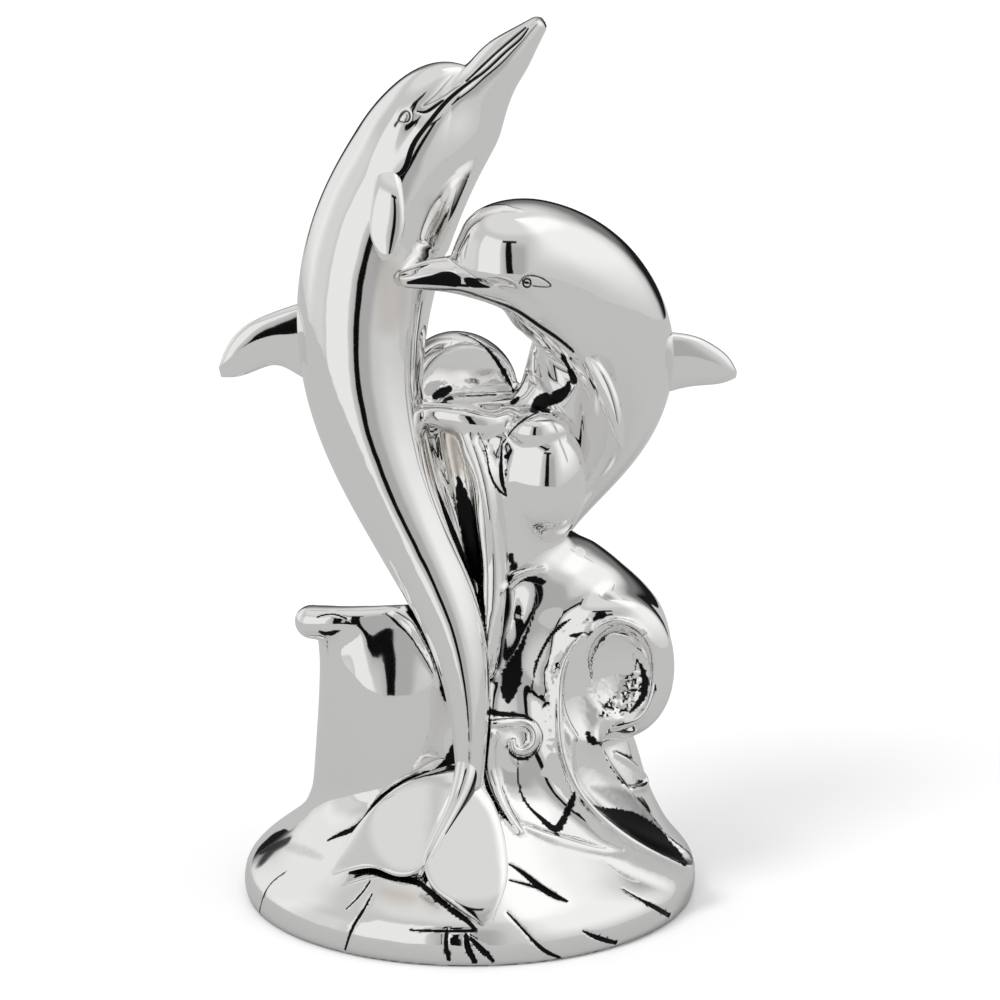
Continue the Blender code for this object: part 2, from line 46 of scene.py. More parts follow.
FRONT = np.array((0.0, -1.0, 0.0))

# The front view: its width in steps, the camera's distance and pitch, steps for one part, where it aims
FRAME_WIDTH = 1000
SIGHT_DISTANCE, SIGHT_PITCH, SIGHT_SCALE = 1000.0, math.radians(14.8), 4.054
AIM = np.array((7.6, 0.0, 101.0))
BACK_TO_EYE = np.array((0.0, -math.cos(SIGHT_PITCH), math.sin(SIGHT_PITCH)))
VIEW_UP = np.array((0.0, math.sin(SIGHT_PITCH), math.cos(SIGHT_PITCH)))
EYE = AIM + SIGHT_DISTANCE * BACK_TO_EYE

# Each dolphin: the hand that turns its back outwards, and its spine from the beak's tip to the tail
TALL = {
    "hand": -1,
    "spine": (
        (17.6, 3, 219.85), (8.9, 3.3, 210), (-1, 4.5, 200.7), (-12.5, 5, 185.8),
        (-20.6, 5, 169.8), (-25.6, 2, 150.2), (-25.6, -2.4, 131.4), (-19.8, -8, 110),
        (-11, -13.6, 90.9), (-3.4, -19.6, 73.9), (0.1, -25.2, 55), (0.2, -29.4, 35.6),
    ),
    # Way along the spine, half height on the back's side and on the belly's side, half width
    "girth": (
        (0, 16.6, 1.2, 14), (3.5, 16.6, 2.4, 14), (7.6, 16.6, 3.8, 14), (11.5, 16.8, 5.2, 14),
        (15.4, 17, 6.4, 14), (19.2, 17, 8.2, 14), (22, 17, 9.8, 14), (27.5, 16.9, 12.7, 14),
        (34, 16.3, 14.3, 14.2), (45, 15.9, 15.6, 14.6), (60, 16.5, 16.7, 15), (76, 16.7, 16.8, 15.3),
        (93, 15.6, 15.7, 14.6), (113, 13.4, 13.4, 12.6), (138, 10.4, 10.4, 10.2),
        (162, 8.2, 8, 8.2), (182, 5.8, 5.6, 5.8), (196, 4.2, 4, 4.2), (207, 3.4, 3.2, 3.4),
    ),
    # Way along the spine, half height of the beak over its middle, half width of the beak and cheeks
    "beak": (
        (0, 1.2, 1.6), (2.8, 2.3, 2.7), (6.2, 3.6, 3.8), (12.3, 5.4, 5), (17, 5.6, 5.8), (20.5, 5.3, 6.6),
        (26, 5.8, 8), (34, 8, 11), (45, 11.5, 13.4), (60, 14.6, 14.6), (72, 15.8, 14.9),
    ),
    # Where the forehead starts and how long it rises, from the top of the head down its side
    "forehead": ((20.3, 26), (31, 32), (42, 28)),
}
ARCH = {
    "hand": 1,
    "spine": (
        (-17, -10.6, 159.1), (-8.2, -10.6, 159.9), (-0.1, -10.2, 160.5), (8.4, -8.6, 161.9),
        (19, -5.6, 159.4), (30, -1.6, 149.4), (36.4, 3, 135.6), (36.6, 6.4, 122), (31.6, 9, 108.4),
        (22.6, 11, 94), (14, 11, 80),
    ),
    "girth": (
        (0, 16.2, 1.2, 14), (4, 16.2, 2.4, 14), (8.8, 16.2, 3.4, 14), (15, 16.2, 5.2, 14),
        (21, 16.2, 9, 14.2), (27, 16.2, 12.4, 14.4), (33, 16.4, 14.6, 14.6), (44, 16.9, 16, 14.8),
        (56, 16.3, 15.9, 14.6), (70, 13.8, 14, 13.2), (82, 10.8, 11.2, 11), (97, 7.3, 7.2, 7.4),
        (112, 4.9, 4.8, 5), (131, 4, 4, 4),
    ),
    "beak": (
        (0, 1.3, 1.6), (4, 2.6, 2.9), (8.8, 3.9, 4.1), (15, 4.6, 5.6), (21, 6.2, 8.4),
        (27, 8.6, 11.2), (33, 11.6, 13), (44, 15, 14.2), (52, 15.6, 14.5),
    ),
    "forehead": ((12.4, 20), (14.6, 14.5), (24, 14)),
}
NOSE_ROUNDING, CREASE_SOFTNESS, CHEEK_SOFTNESS = 1.5, 0.2, 3.2

# Each fin: points along its leading edge, points along its trailing edge, thickness, fullness
FINS = {
    "tall_dorsal": (
        ((-34, 3, 152), (-42, 3, 149.7), (-49, 3, 147.2), (-54.8, 3, 144.2), (-59, 3, 139.6),
         (-61.4, 3, 133.9)),
        ((-34, 3, 128), (-42, 3, 132), (-47.3, 3, 134.4), (-51.6, 3, 133.3), (-57, 3, 131.5),
         (-60.8, 3, 131.4)),
        5.6, 1),
    "arch_dorsal": (
        ((42, 4, 143), (49.9, 4, 142.4), (55.6, 4, 141.4), (60.5, 4, 138.9), (64, 4, 135.8),
         (65.8, 4, 132.5)),
        ((42, 4, 126), (48.4, 4, 127.3), (52.8, 4, 128.5), (58.5, 4, 129.2), (63, 4, 129.9),
         (65.5, 4, 131)),
        5.6, 1),
    "tall_flipper": (
        ((-17.4, -2, 187), (-16, -8.6, 182.4), (-15.2, -12.4, 177), (-15.6, -14.6, 170),
         (-18.2, -15.6, 164.6)),
        ((-21, -2, 187), (-22.4, -8.2, 182.2), (-23.4, -11.6, 176), (-23.2, -14, 169.4),
         (-20.6, -15.4, 164.2)),
        3.6, 0.75),
    "arch_flipper": (
        ((26.5, -7, 144.5), (31, -14, 140), (34.6, -17.6, 134.5), (36.8, -19, 127.5), (37.4, -19, 119.4)),
        ((27.5, -4, 138), (28.4, -10.5, 136.5), (30.6, -14, 131.5), (33.8, -17, 125), (36.7, -18.4, 118.6)),
        4.4, 1),
}
# The flukes' edges, the same way, with their height over the sea
FLUKES = {
    "fluke_left": (
        ((0, -24, 8), (-8.9, -22.6, 4.6), (-15.5, -23.6, 3.4), (-23.9, -28.8, 3), (-29.4, -32.6, 2.8),
         (-33.6, -36.9, 2.4)),
        ((-5, -40, 5), (-12.4, -46.2, 3.4), (-17.5, -45.2, 3), (-22.9, -41.8, 3), (-28.3, -39.8, 2.8),
         (-33, -38.2, 2.2))),
    "fluke_right": (
        ((-1, -24, 7), (3.9, -29.7, 4.8), (7.4, -36, 3.6), (9.4, -43.3, 3.2), (9, -49.2, 3),
         (6.2, -54.4, 2.6)),
        ((-8, -38, 5), (-10.4, -46.6, 3.6), (-8, -50, 3), (-4.4, -52.4, 3), (-0.6, -54.2, 2.6),
         (3.4, -55.6, 2.2))),
}
FLUKE_THICKNESS = 3.4
# The tail's keel over the flukes: across, front to back, height over the sea, half thickness
KEEL = (
    (0.2, -24, 20, 2), (0.1, -26.6, 14, 2.6), (-0.6, -30.2, 9, 3), (-3, -34.6, 5.4, 2.2),
    (-6.4, -39.4, 4.2, 1.6), (-10.2, -44.4, 3.6, 1), (-11.6, -46.2, 2.6, 0.6),
)

# The foot's edge from below: step out from its radius, height
FOOT_EDGE = ((-1.4, -3), (-0.7, 0.4), (-0.1, 2.2), (-0.05, 4.2), (-1.2, 8.6))
# The sea's swell: share of the foot's radius, height
SEA_SWELL = ((0.915, 13), (0.83, 17.5), (0.73, 23), (0.63, 28), (0.49, 32), (0.3, 35), (0.01, 36.2))
# How much the foot's sides draw in, and the heights between which that grows
SIDE_DRAW, SIDE_DRAW_HEIGHTS = 0.06, (6, 16)
# Masses by sections: height, middle across and front to back, half sizes; the curl's roll and shoulder
# stand upright: front to back, middle across and up, half sizes. Ropes: point, half thickness.
# Balls: middle, half sizes, turn, nod
ROUNDNESS, LEFT_WAVE_ROUNDNESS, CURL_ROUNDNESS = 0.86, 0.95, 0.93
LEFT_WAVE = (
    (8, -21, -2, 23, 23), (18, -20.5, -2, 20.6, 20.4), (27, -19, -2.2, 20.4, 19.6),
    (36, -18.2, -2.4, 20.4, 20.2), (48, -17.6, -2.6, 20.1, 20.8), (57, -17.4, -3.4, 19.8, 19.8),
    (63, -17.3, -4.8, 19.8, 17.2), (69, -17.4, -7.6, 20, 11.8), (75.4, -17.6, -11.6, 19.8, 6.4),
)
LEFT_LIP = ((-38.6, -12.4, 73.4, 4.1), (-34, -13.6, 74, 3.6), (-28, -14.4, 75.2, 2.6),
            (-20, -14.4, 76.2, 1.9), (-8, -13.4, 76.8, 1.5))
# Soft upright folds in the left wave's face: across, half width, height, and where they fade out below
WAVE_FOLDS = ((-33.6, 2.6, 0.3), (-26.4, 3, 0.4))
FOLD_FADE = (44, 68)
MIDDLE_WATER = (
    (8, 6, 0, 32, 30), (24, 11, -3, 28, 25), (36, 11.5, -4, 23, 20.5), (48, 10.5, -4, 19.5, 19.5),
    (62, 9.5, -2, 16.5, 16.8), (76, 8.5, 0.5, 15.8, 12.8), (88, 8, 1.2, 15.6, 13),
    (99, 8.2, 1.4, 16.2, 13.8), (108, 8.2, 2.4, 16.8, 13.4), (116, 7.4, 4, 17.4, 11.6),
    (127, 4.5, 6, 15.5, 10),
)
CURL_BACK = (
    (8, 33, 1, 20, 26), (18, 33, 2, 15.4, 21), (27, 32.6, 3, 12, 17), (36, 30.8, 3, 11.2, 14),
    (44, 28.6, 3, 11, 12), (54, 27.5, 3, 12, 12),
)
CURL_ROLL = (
    (-17.4, 34.4, 61.4, 11.5, 13.8), (-15, 35, 61.4, 14, 16.8), (-8, 35.2, 61.7, 15, 18.9),
    (0, 35, 62.3, 15.1, 19.5), (8, 33.6, 62.5, 14, 18.5), (15, 31.4, 61.2, 11.2, 15.4),
    (20, 29, 60, 6, 10),
)
CURL_SHOULDER = (
    (-14, 21, 69, 9, 13), (-8, 22.5, 70, 13.4, 17.8), (2, 22.8, 71, 16.4, 20.2), (10, 22, 70, 13.4, 17.8),
    (15, 21, 68, 8, 11),
)
DOME = ((-1.8, 5, 129.3), (14.2, 8.6, 12.6), 30, -14)
# The hollow that flattens the dome's face: a large ball in front of it
DOME_FACE = ((14.6, -54.6, 123), (60, 60, 60), 0, 0)
LEDGE = ((-11.5, -3, 123.8, 2.8), (-5.6, -6, 123.6, 3.4), (0.5, -7.6, 123, 3.5), (6.2, -8, 122.6, 2.6),
         (9.6, -6.6, 124.4, 1.6))
BULB = (((20.8, -6, 107.6), (8, 10.2, 14), 0, 0), ((14, -4.8, 107.4), (7, 9, 13.4), 0, 0))
PETAL = ((16.6, -6.4, 120.6), (8.2, 7.4, 5.4), 0, 0)
LEAF = ((8.2, -4.2, 109.6), (6.2, 8.6, 13.4), 0, 0)
WEB = ((16.5, 2, 112, 9.4), (18.6, 2, 120, 8.9), (21.2, 2, 130, 8.2), (23.4, 1.4, 138, 8.4), (27, 0, 147, 9))
CUP = ((20, -9, 136.8), (6, 8.4, 10), -20, 0)
GROOVE_RIDGE = (
    (-0.4, -7, 121, 2.4), (1.2, -10.2, 116, 2.9), (3.3, -12.4, 110, 3.2), (4.8, -13.8, 101, 3.3),
    (6.2, -14.8, 88, 3.2), (5.6, -17.8, 76, 3), (4.6, -21.4, 64, 2.6),
)
GROOVE = ((-3.6, -12.6, 120.5, 1.8), (-2.2, -15, 113.4, 3), (-0.6, -17.4, 104.5, 3.6),
          (1.2, -20.2, 92, 3.6), (2.4, -22.6, 80, 2.8))
FRONT_WAVE = (
    (25, -16, 60, 4.6), (25.2, -18, 48, 5.8), (27.4, -19.6, 38, 6.8), (33.4, -20.4, 28, 7.6),
    (42, -19.4, 18.6, 7.6), (50, -15.5, 11.4, 6),
)
SCOOP = ((10, -22.4, 81, 3.4), (11.8, -25.9, 72, 7.4), (12.8, -28.8, 60, 9.6), (14.6, -32, 47, 10),
         (19.4, -37, 35, 9.4), (25.6, -43, 26, 7))
TROUGH = ((30, -25, 44.6, 4.6), (32.6, -25.8, 39.8, 7), (38.8, -26.4, 34, 8.2),
          (47.6, -24.4, 27.6, 8.8), (55, -17, 20, 7.4))
CURL_FILL = ((32.5, 0, 71.5), (11.5, 14, 13.6), 0, 0)
CURL_BOWL = (((38, -20, 61.6), (10, 8.4, 13.4), -6, 0), ((29.6, -22.4, 59), (8, 6, 14.6), -8, 0))
BACK_FOLDS = (
    ((-16, 16, 16, 8), (-5, 13.5, 36, 8), (2, 11.5, 58, 7.6), (3, 9.5, 82, 7), (0, 10, 104, 6.6),
     (-2, 10, 122, 6)),
    ((28, 20, 14, 8), (24, 15, 36, 7.6), (19, 11.5, 58, 6.8), (15, 10, 80, 5.8), (14, 9, 100, 5)),
)
# Fine edges and lips, drawn in the front view: across, down, half thickness, height over the water
CREST_EDGE = (
    (582, 636, 0.5, 0.1), (567, 657, 0.6, 0.1), (560, 693, 0.6, 0.1), (560, 733, 0.6, 0.1),
    (567, 767, 0.6, 0), (580, 793, 0.6, 0), (607, 823, 0.6, 0), (647, 850, 0.6, 0),
    (684, 868, 0.5, 0),
)
BOWL_EDGE = (
    (597, 627, 0.5, 0), (613, 621, 0.6, 0.2), (637, 627, 0.6, 0.2), (651, 645, 0.6, 0.2),
    (655, 672, 0.6, 0.2), (651, 700, 0.6, 0.1), (640, 718, 0.6, 0.1), (613, 727, 0.5, 0),
)
SCROLL = (
    (484, 724, 0.9, 0.3), (500, 723, 1, 0.4), (516, 722, 1, 0.5), (528, 724, 1, 0.5),
    (535, 733, 1, 0.5), (533, 745, 1, 0.5), (524, 751, 1, 0.5), (514, 748, 0.9, 0.5),
    (513, 741, 0.7, 0.5),
)
SCROLL_STEM = (
    (492, 734, 1.5, 0.1), (490, 757, 1.6, 0.1), (495, 785, 1.6, 0.1), (505, 810, 1.4, 0.1),
    (520, 832, 0.9, 0),
)
BROW_EDGE = ((503, 590, 0.4, 0.1), (511, 580, 0.5, 0.2), (524, 573, 0.5, 0.2), (543, 568, 0.4, 0.1))
CUP_RIB = ((526, 370, 0.3, 0.1), (540, 386, 0.4, 0.2), (552, 402, 0.4, 0.2), (572, 425, 0.3, 0.1))
TAIL_FOLD = (
    (425, 421, 0.7, 0.2), (432, 450, 0.8, 0.3), (444, 490, 0.8, 0.3), (456, 535, 0.8, 0.3),
    (466, 575, 0.7, 0.2),
)
TAIL_RIDGE = ((394, 611, 0.5, 0), (408, 619, 0.8, 0.1), (422, 638, 0.8, 0.1), (433, 660, 0.8, 0.1),
              (441, 683, 0.6, 0))
SEA_EDGES = (
    ((524, 828, 0.8, -0.4), (545, 838, 1.6, -0.9), (570, 846, 1.8, -1.1), (600, 852, 1.4, -0.8),
        (622, 852, 0.8, -0.4)),
    ((615, 754, 0.6, 0), (635, 767, 0.9, 0.3), (645, 784, 0.9, 0.3), (631, 790, 0.7, 0.1)),
)
RAISED = (CREST_EDGE, BOWL_EDGE, SCROLL, SCROLL_STEM, BROW_EDGE, CUP_RIB, TAIL_FOLD) + SEA_EDGES
# Cut lines of the water, in the front view: across, down, half thickness
CUT_LINES = (
    ((478, 433, 0.12), (486, 450, 0.12), (489, 468, 0.19), (497, 487, 0.25), (507, 497, 0.12)),
    ((502, 445, 0.12), (501, 460, 0.31), (503, 485, 0.38), (507, 497, 0.12)),
    ((502, 444, 0.12), (510, 433, 0.19), (519, 423, 0.19), (538, 412, 0.12)),
    ((460, 333, 0.12), (478, 341, 0.12), (493, 356, 0.31), (505, 374, 0.38), (514, 392, 0.25)),
    ((454, 772, 0.12), (432, 775, 0.38), (415, 777, 0.38), (400, 785, 0.5), (387, 794, 0.62),
        (375, 804, 0.62), (367, 814, 0.38), (360, 822, 0.38), (350, 830, 0.75), (340, 834, 0.62),
        (328, 840, 0.25)),
    ((317, 617, 0.12), (332, 614, 0.12), (347, 619, 0.12)),
    ((285, 872, 0.12), (272, 882, 0.19), (263, 897, 0.19), (259, 913, 0.12)),
    ((370, 881, 0.12), (360, 895, 0.19), (346, 909, 0.12)),
    ((372, 894, 0.12), (362, 912, 0.31), (353, 927, 0.31), (345, 950, 0.19)),
    ((410, 930, 0.12), (440, 931, 0.25), (474, 931, 0.25)),
    ((447, 930, 0.25), (446, 944, 0.44), (449, 960, 0.38)),
    ((466, 935, 0.38), (468, 948, 0.69), (475, 962, 0.5)),
    ((471, 939, 0.38), (481, 949, 0.62), (493, 961, 0.38)),
    ((509, 864, 0.12), (522, 872, 0.44), (538, 885, 0.75), (552, 894, 0.75), (567, 901, 0.25)),
    ((509, 880, 0.12), (525, 884, 0.25), (540, 888, 0.38)),
    ((507, 912, 0.12), (517, 923, 0.19), (531, 938, 0.25), (545, 951, 0.44), (560, 958, 0.25)),
    ((583, 931, 0.12), (598, 938, 0.5), (616, 943, 0.44)),
    ((623, 889, 0.12), (640, 899, 0.31), (655, 907, 0.5), (670, 916, 0.5)),
    ((486, 757, 0.12), (486, 777, 0.44), (494, 800, 0.56), (506, 818, 0.44), (521, 833, 0.12)),
    ((424, 424, 0.12), (431, 450, 0.25), (441, 490, 0.25), (452, 530, 0.25), (462, 562, 0.12)),
)
# Places painted black as shade and dark reflections, in the front view: across, down, reach
BLACK_PAINTED_SHADE = (
    ((458, 478, 0.6), (462, 496, 1.8), (468, 520, 2.6), (474, 548, 2.6), (480, 580, 1.2)),
    ((435, 396, 0.9), (441, 393, 1.3), (449, 389, 0.9)),
    ((512, 403, 0.9), (517, 399, 0.8)),
    ((534, 411, 1), (541, 403, 2), (546, 398, 1.4)),
    ((550, 402, 1), (558, 396, 1.8), (566, 390, 1.2), (569, 380, 0.5)),
    ((500, 595, 0.1), (506, 586, 0.5), (515, 577, 0.7), (527, 572, 0.5), (541, 570, 0.1)),
    ((524, 580, 0.3), (531, 579, 0.8), (542, 582, 0.8)),
    ((511, 556, 0.9), (514, 568, 0.8)),
    ((535, 585, 0.2), (536, 602, 0.25), (529, 627, 0.3), (521, 648, 0.8), (514, 668, 2.2), (510, 684, 2.5),
        (508, 700, 0.9)),
    ((450, 702, 0.5), (456, 720, 0.9), (458, 740, 1.3), (454, 757, 2), (446, 768, 1.8), (432, 774, 0.8)),
    ((572, 618, 0.1), (562, 625, 0.5), (553, 633, 0.5), (545, 645, 0.45), (537, 662, 0.4), (532, 690, 0.1)),
    ((570, 636, 0.3), (577, 635, 0.6), (582, 633, 0.4)),
    ((588, 734, 0.8), (594, 742, 1), (602, 744, 0.5)),
    ((592, 805, 0.3), (605, 812, 1.6), (618, 819, 2.8), (632, 826, 3.8), (652, 838, 4), (668, 849, 3.2),
        (682, 862, 1.3)),
    ((489, 711, 0.8), (500, 714, 0.7), (515, 715, 0.6), (528, 718, 0.5), (537, 728, 0.3)),
    ((507, 745, 0.2), (513, 755, 0.4), (523, 759, 0.5), (533, 754, 0.4), (540, 742, 0.2)),
    ((518, 762, 0.1), (518, 777, 0.25), (522, 795, 0.3), (530, 808, 0.4), (543, 820, 0.7), (556, 829, 1),
        (565, 816, 0.9), (573, 798, 0.7), (575, 792, 0.3)),
    ((343, 867, 0.7), (352, 866, 1.1), (364, 868, 1.1), (378, 873, 0.9), (395, 878, 0.9), (412, 881, 0.9),
        (421, 884, 0.8)),
    ((421, 884, 0.7), (436, 897, 0.8), (452, 910, 0.8), (466, 920, 0.7), (476, 930, 0.4)),
    ((262, 852, 1.2), (274, 846, 1.6), (288, 840, 1)),
)
# Places of softer painted shade, some of it warm: darkness and warm brown share, then the same
GREY_PAINTED_SHADE = (
    (0.4, 0.7, ((449, 428, 1), (454, 446, 1.8), (459, 466, 2.2))),
    (0.42, 0.1, ((434, 343, 1), (440, 350, 1.4))),
    (0.45, 0, ((288, 846, 2.6), (304, 851, 2.6), (322, 858, 1.8))),
    (0.8, 0, ((518, 424, 0.4), (526, 418, 0.5))),
    (0.8, 0.3, ((435, 668, 0.3), (440, 682, 0.8), (446, 700, 0.6))),
    (0.95, 0, ((319, 631, 0.3), (326, 634, 0.8), (335, 632, 0.6), (341, 630, 0.2))),
    (0.9, 0, ((327, 638, 0.2), (328, 660, 0.1))),
    (0.55, 0, ((592, 788, 1.6), (608, 794, 3), (632, 806, 4), (656, 824, 3.4))),
    (0.9, 0, ((640, 664, 0.4), (645, 680, 0.9), (642, 698, 0.9), (630, 712, 0.4))),
    (0.6, 0.6, ((422, 896, 1.2), (431, 902, 1.4), (438, 908, 0.8))),
    (0, 0.6, ((384, 891, 1.4), (397, 895, 2.2), (412, 898, 1.6))),
    (0.75, 0, ((262, 862, 2.6), (272, 850, 3.2), (286, 842, 2.6))),
)
# Foam: height of its grains, then across, down, reach
FOAM = (
    (0.36, ((632, 652, 0.6), (640, 670, 2.4), (636, 690, 4), (620, 704, 3.6), (602, 713, 1.8))),
    (0.10, ((606, 645, 3.4), (588, 680, 3.6), (592, 715, 2.6), (610, 680, 4))),
    (0.12, ((580, 640, 2), (556, 665, 2.6), (548, 705, 2.6), (552, 745, 2))),
    (0.26, ((562, 632, 1), (576, 625, 1.4), (592, 617, 1))),
    (0.10, ((618, 760, 1), (632, 775, 1.8), (628, 792, 1))),
    (0.16, ((441, 388, 1.2), (462, 389, 1.4), (480, 394, 1.2))),
)
# Marks on the dolphins: depth, darkness and warm brown share of painted shade and reflections, then across,
# down, half width
TALL_MARKS = (
    # Painted shade in the sunk lines of the mouth, face and eye
    (0.22, 0.9, 0, ((526, 27, 0.12), (512, 39, 0.2), (497, 52, 0.2), (481, 67, 0.2), (466, 81, 0.15))),
    (0.22, 0.95, 0, ((528, 28, 0.12), (522, 37, 0.2), (510, 48, 0.22), (495, 62, 0.25), (480, 75, 0.25),
        (469, 82, 0.3))),
    (0.12, 0.6, 0, ((453, 75, 0.1), (441, 89, 0.15), (432, 98, 0.15), (423, 106, 0.15), (431, 103, 0.15),
        (442, 97, 0.15), (452, 90, 0.15), (461, 84, 0.1))),
    (0.25, 0.95, 0, ((417, 111, 0.15), (424, 112, 0.3), (432, 108, 0.35), (443, 100, 0.2))),
    (0.14, 0.8, 0, ((399, 120, 0.12), (403, 113, 0.18), (407, 111, 0.18), (410, 116, 0.18),
        (408, 121, 0.18), (403, 122, 0.15), (399, 121, 0.15), (395, 126, 0.2))),
    # A black streak of painted reflection down the head and back
    (0, 0.98, 0, ((470, 82, 0.3), (448, 100, 0.45), (427, 125, 0.5), (411, 150, 0.6), (402, 172, 0.55),
        (387, 178, 0.3))),
    # Warm painted shadows under the flipper, and a warm painted reflection of the arching dolphin's head
    (0, 0.1, 0.45, ((385, 262, 1.5), (392, 290, 3), (388, 325, 2))),
    (0, 0.08, 0.4, ((431, 204, 0.6), (438, 218, 1.2), (434, 236, 0.8))),
    (0, 0.3, 0.9, ((380, 247, 0.6), (390, 249, 1))),
)
ARCH_MARKS = (
    # A black wedge of painted shade under the beak, and painted shade in the mouth, throat and eye lines
    (0.15, 1, 0, ((408, 283, 0.3), (424, 281, 0.9), (440, 279.5, 1.5), (449, 279, 1.8), (455, 281, 1.5))),
    (0.15, 1, 0, ((466, 280, 0.5), (470, 282, 1), (478, 285, 0.7), (489, 287.5, 0.15))),
    (0.1, 0.9, 0, ((455, 285, 0.3), (468, 286, 0.3))),
    (0.2, 0.7, 0, ((405, 288, 0.15), (430, 290, 0.2), (460, 291, 0.2), (477, 296, 0.25), (497, 303, 0.25))),
    (0.3, 0.9, 0, ((497, 303, 0.2), (516, 311, 0.35), (537, 325, 0.4), (559, 340, 0.4), (574, 353, 0.25))),
    (0.15, 0.5, 0, ((445, 254, 0.15), (455, 263, 0.2), (466, 271, 0.2), (478, 279, 0.2), (491, 287, 0.15))),
    (0.16, 0.9, 0, ((531, 283, 0.15), (529, 287, 0.18), (525, 287, 0.18), (523, 283, 0.18),
        (526, 279, 0.18), (530, 280, 0.18), (531, 283, 0.15))),
    (0.2, 1, 0, ((526, 283, 0.25), (528, 283, 0.25))),
    (0.12, 0.8, 0, ((519, 284, 0.12), (524, 277, 0.15), (535, 276, 0.18), (545, 280, 0.18),
        (551, 286, 0.15), (543, 287, 0.15), (533, 286, 0.15))),
)


# Curves and skins
def fair_curve(knots, values, at):
    """Natural cubic spline through values at knots, read at the places in at."""
    knots = np.asarray(knots, float)
    values = np.asarray(values, float).reshape(len(knots), -1)
    steps = np.diff(knots)
    slopes = np.diff(values, axis=0) / steps[:, None]
    matrix = np.eye(len(knots))
    right = np.zeros_like(values)
    for i in range(1, len(knots) - 1):
        matrix[i, i - 1:i + 2] = steps[i - 1], 2 * (steps[i - 1] + steps[i]), steps[i]
        right[i] = 6 * (slopes[i] - slopes[i - 1])
    bends = np.linalg.solve(matrix, right)
    at = np.clip(np.asarray(at, float), knots[0], knots[-1])
    i = np.clip(np.searchsorted(knots, at) - 1, 0, len(steps) - 1)
    h, a, b = steps[i][:, None], (at - knots[i])[:, None], (knots[i + 1] - at)[:, None]
    return (bends[i] * b ** 3 + bends[i + 1] * a ** 3) / (6 * h) \
        + (values[i] / h - bends[i] * h / 6) * b + (values[i + 1] / h - bends[i + 1] * h / 6) * a


def way_along(points):
    """Length run along a path at each of its points."""
    return np.concatenate([[0], np.cumsum(np.linalg.norm(np.diff(points, axis=0), axis=1))])


def fair_path(points, count):
    """Smooth path of count even steps through a few points, and the length run at each step."""
    points = np.asarray(points, float)
    knots = way_along(points[:, :3])
    dense = fair_curve(knots, points, np.linspace(0, knots[-1], 8 * count))
    run = way_along(dense[:, :3])
    at = np.linspace(0, run[-1], count)
    return np.column_stack([np.interp(at, run, column) for column in dense.T]), at


def unit(vectors):
    return vectors / np.linalg.norm(vectors, axis=-1, keepdims=True)


def smooth_step(low, high, value):
    share = np.clip((value - low) / (high - low), 0, 1)
    return share * share * (3 - 2 * share)


def added(name, data):
    made = bpy.data.objects.new(name, data)
    bpy.context.scene.collection.objects.link(made)
    return made


def skin(name, points, faces):
    """Mesh object from points in parts and faces."""
    mesh = bpy.data.meshes.new(name)
    mesh.from_pydata((np.asarray(points) * PART).tolist(), [], faces)
    body = bmesh.new()
    body.from_mesh(mesh)
    bmesh.ops.recalc_face_normals(body, faces=body.faces)
    body.to_mesh(mesh)
    body.free()
    return added(name, mesh)


def ring_skin(name, rings):
    """Closed skin over rings of points; each end closes on its middle point."""
    count, size = rings.shape[:2]
    index = np.arange(count * size).reshape(count, size)
    low, high = index[:-1], index[1:]
    turned_low, turned_high = np.roll(low, -1, axis=1), np.roll(high, -1, axis=1)
    faces = np.stack((low, turned_low, turned_high, high), axis=-1).reshape(-1, 4).tolist()
    for ring, tip in ((index[0], count * size), (index[-1], count * size + 1)):
        faces += [(ring[k], ring[(k + 1) % size], tip) for k in range(size)]
    points = np.vstack((rings.reshape(-1, 3), rings[0].mean(axis=0), rings[-1].mean(axis=0)))
    return skin(name, points, faces)


# Steps along a spine, half the way over which the beak fades out, and places round a head for the forehead's
# table: 0 at its top, 1 at its side
SPINE_STEPS, BEAK_FADE, FOREHEAD_PLACES = 900, 8, (0, 1, 1.5)


def oval(angle, up, down, side):
    """Reach of an oval with two half heights and one half width, at angles from its top."""
    height = np.where(np.cos(angle) > 0, up, down)
    return 1 / np.sqrt((np.cos(angle) / height) ** 2 + (np.sin(angle) / side) ** 2)


def around(angle, up, side):
    """Directions at angles round a line, from its up to its side."""
    return np.cos(angle)[..., None] * up[:, None] + np.sin(angle)[..., None] * side[:, None]


def larger(first, second, softness):
    """The larger of two reaches, with the crease between them filled."""
    gap = np.abs(first - second)
    return np.maximum(first, second) + softness * np.exp(-gap / softness) * 0.5


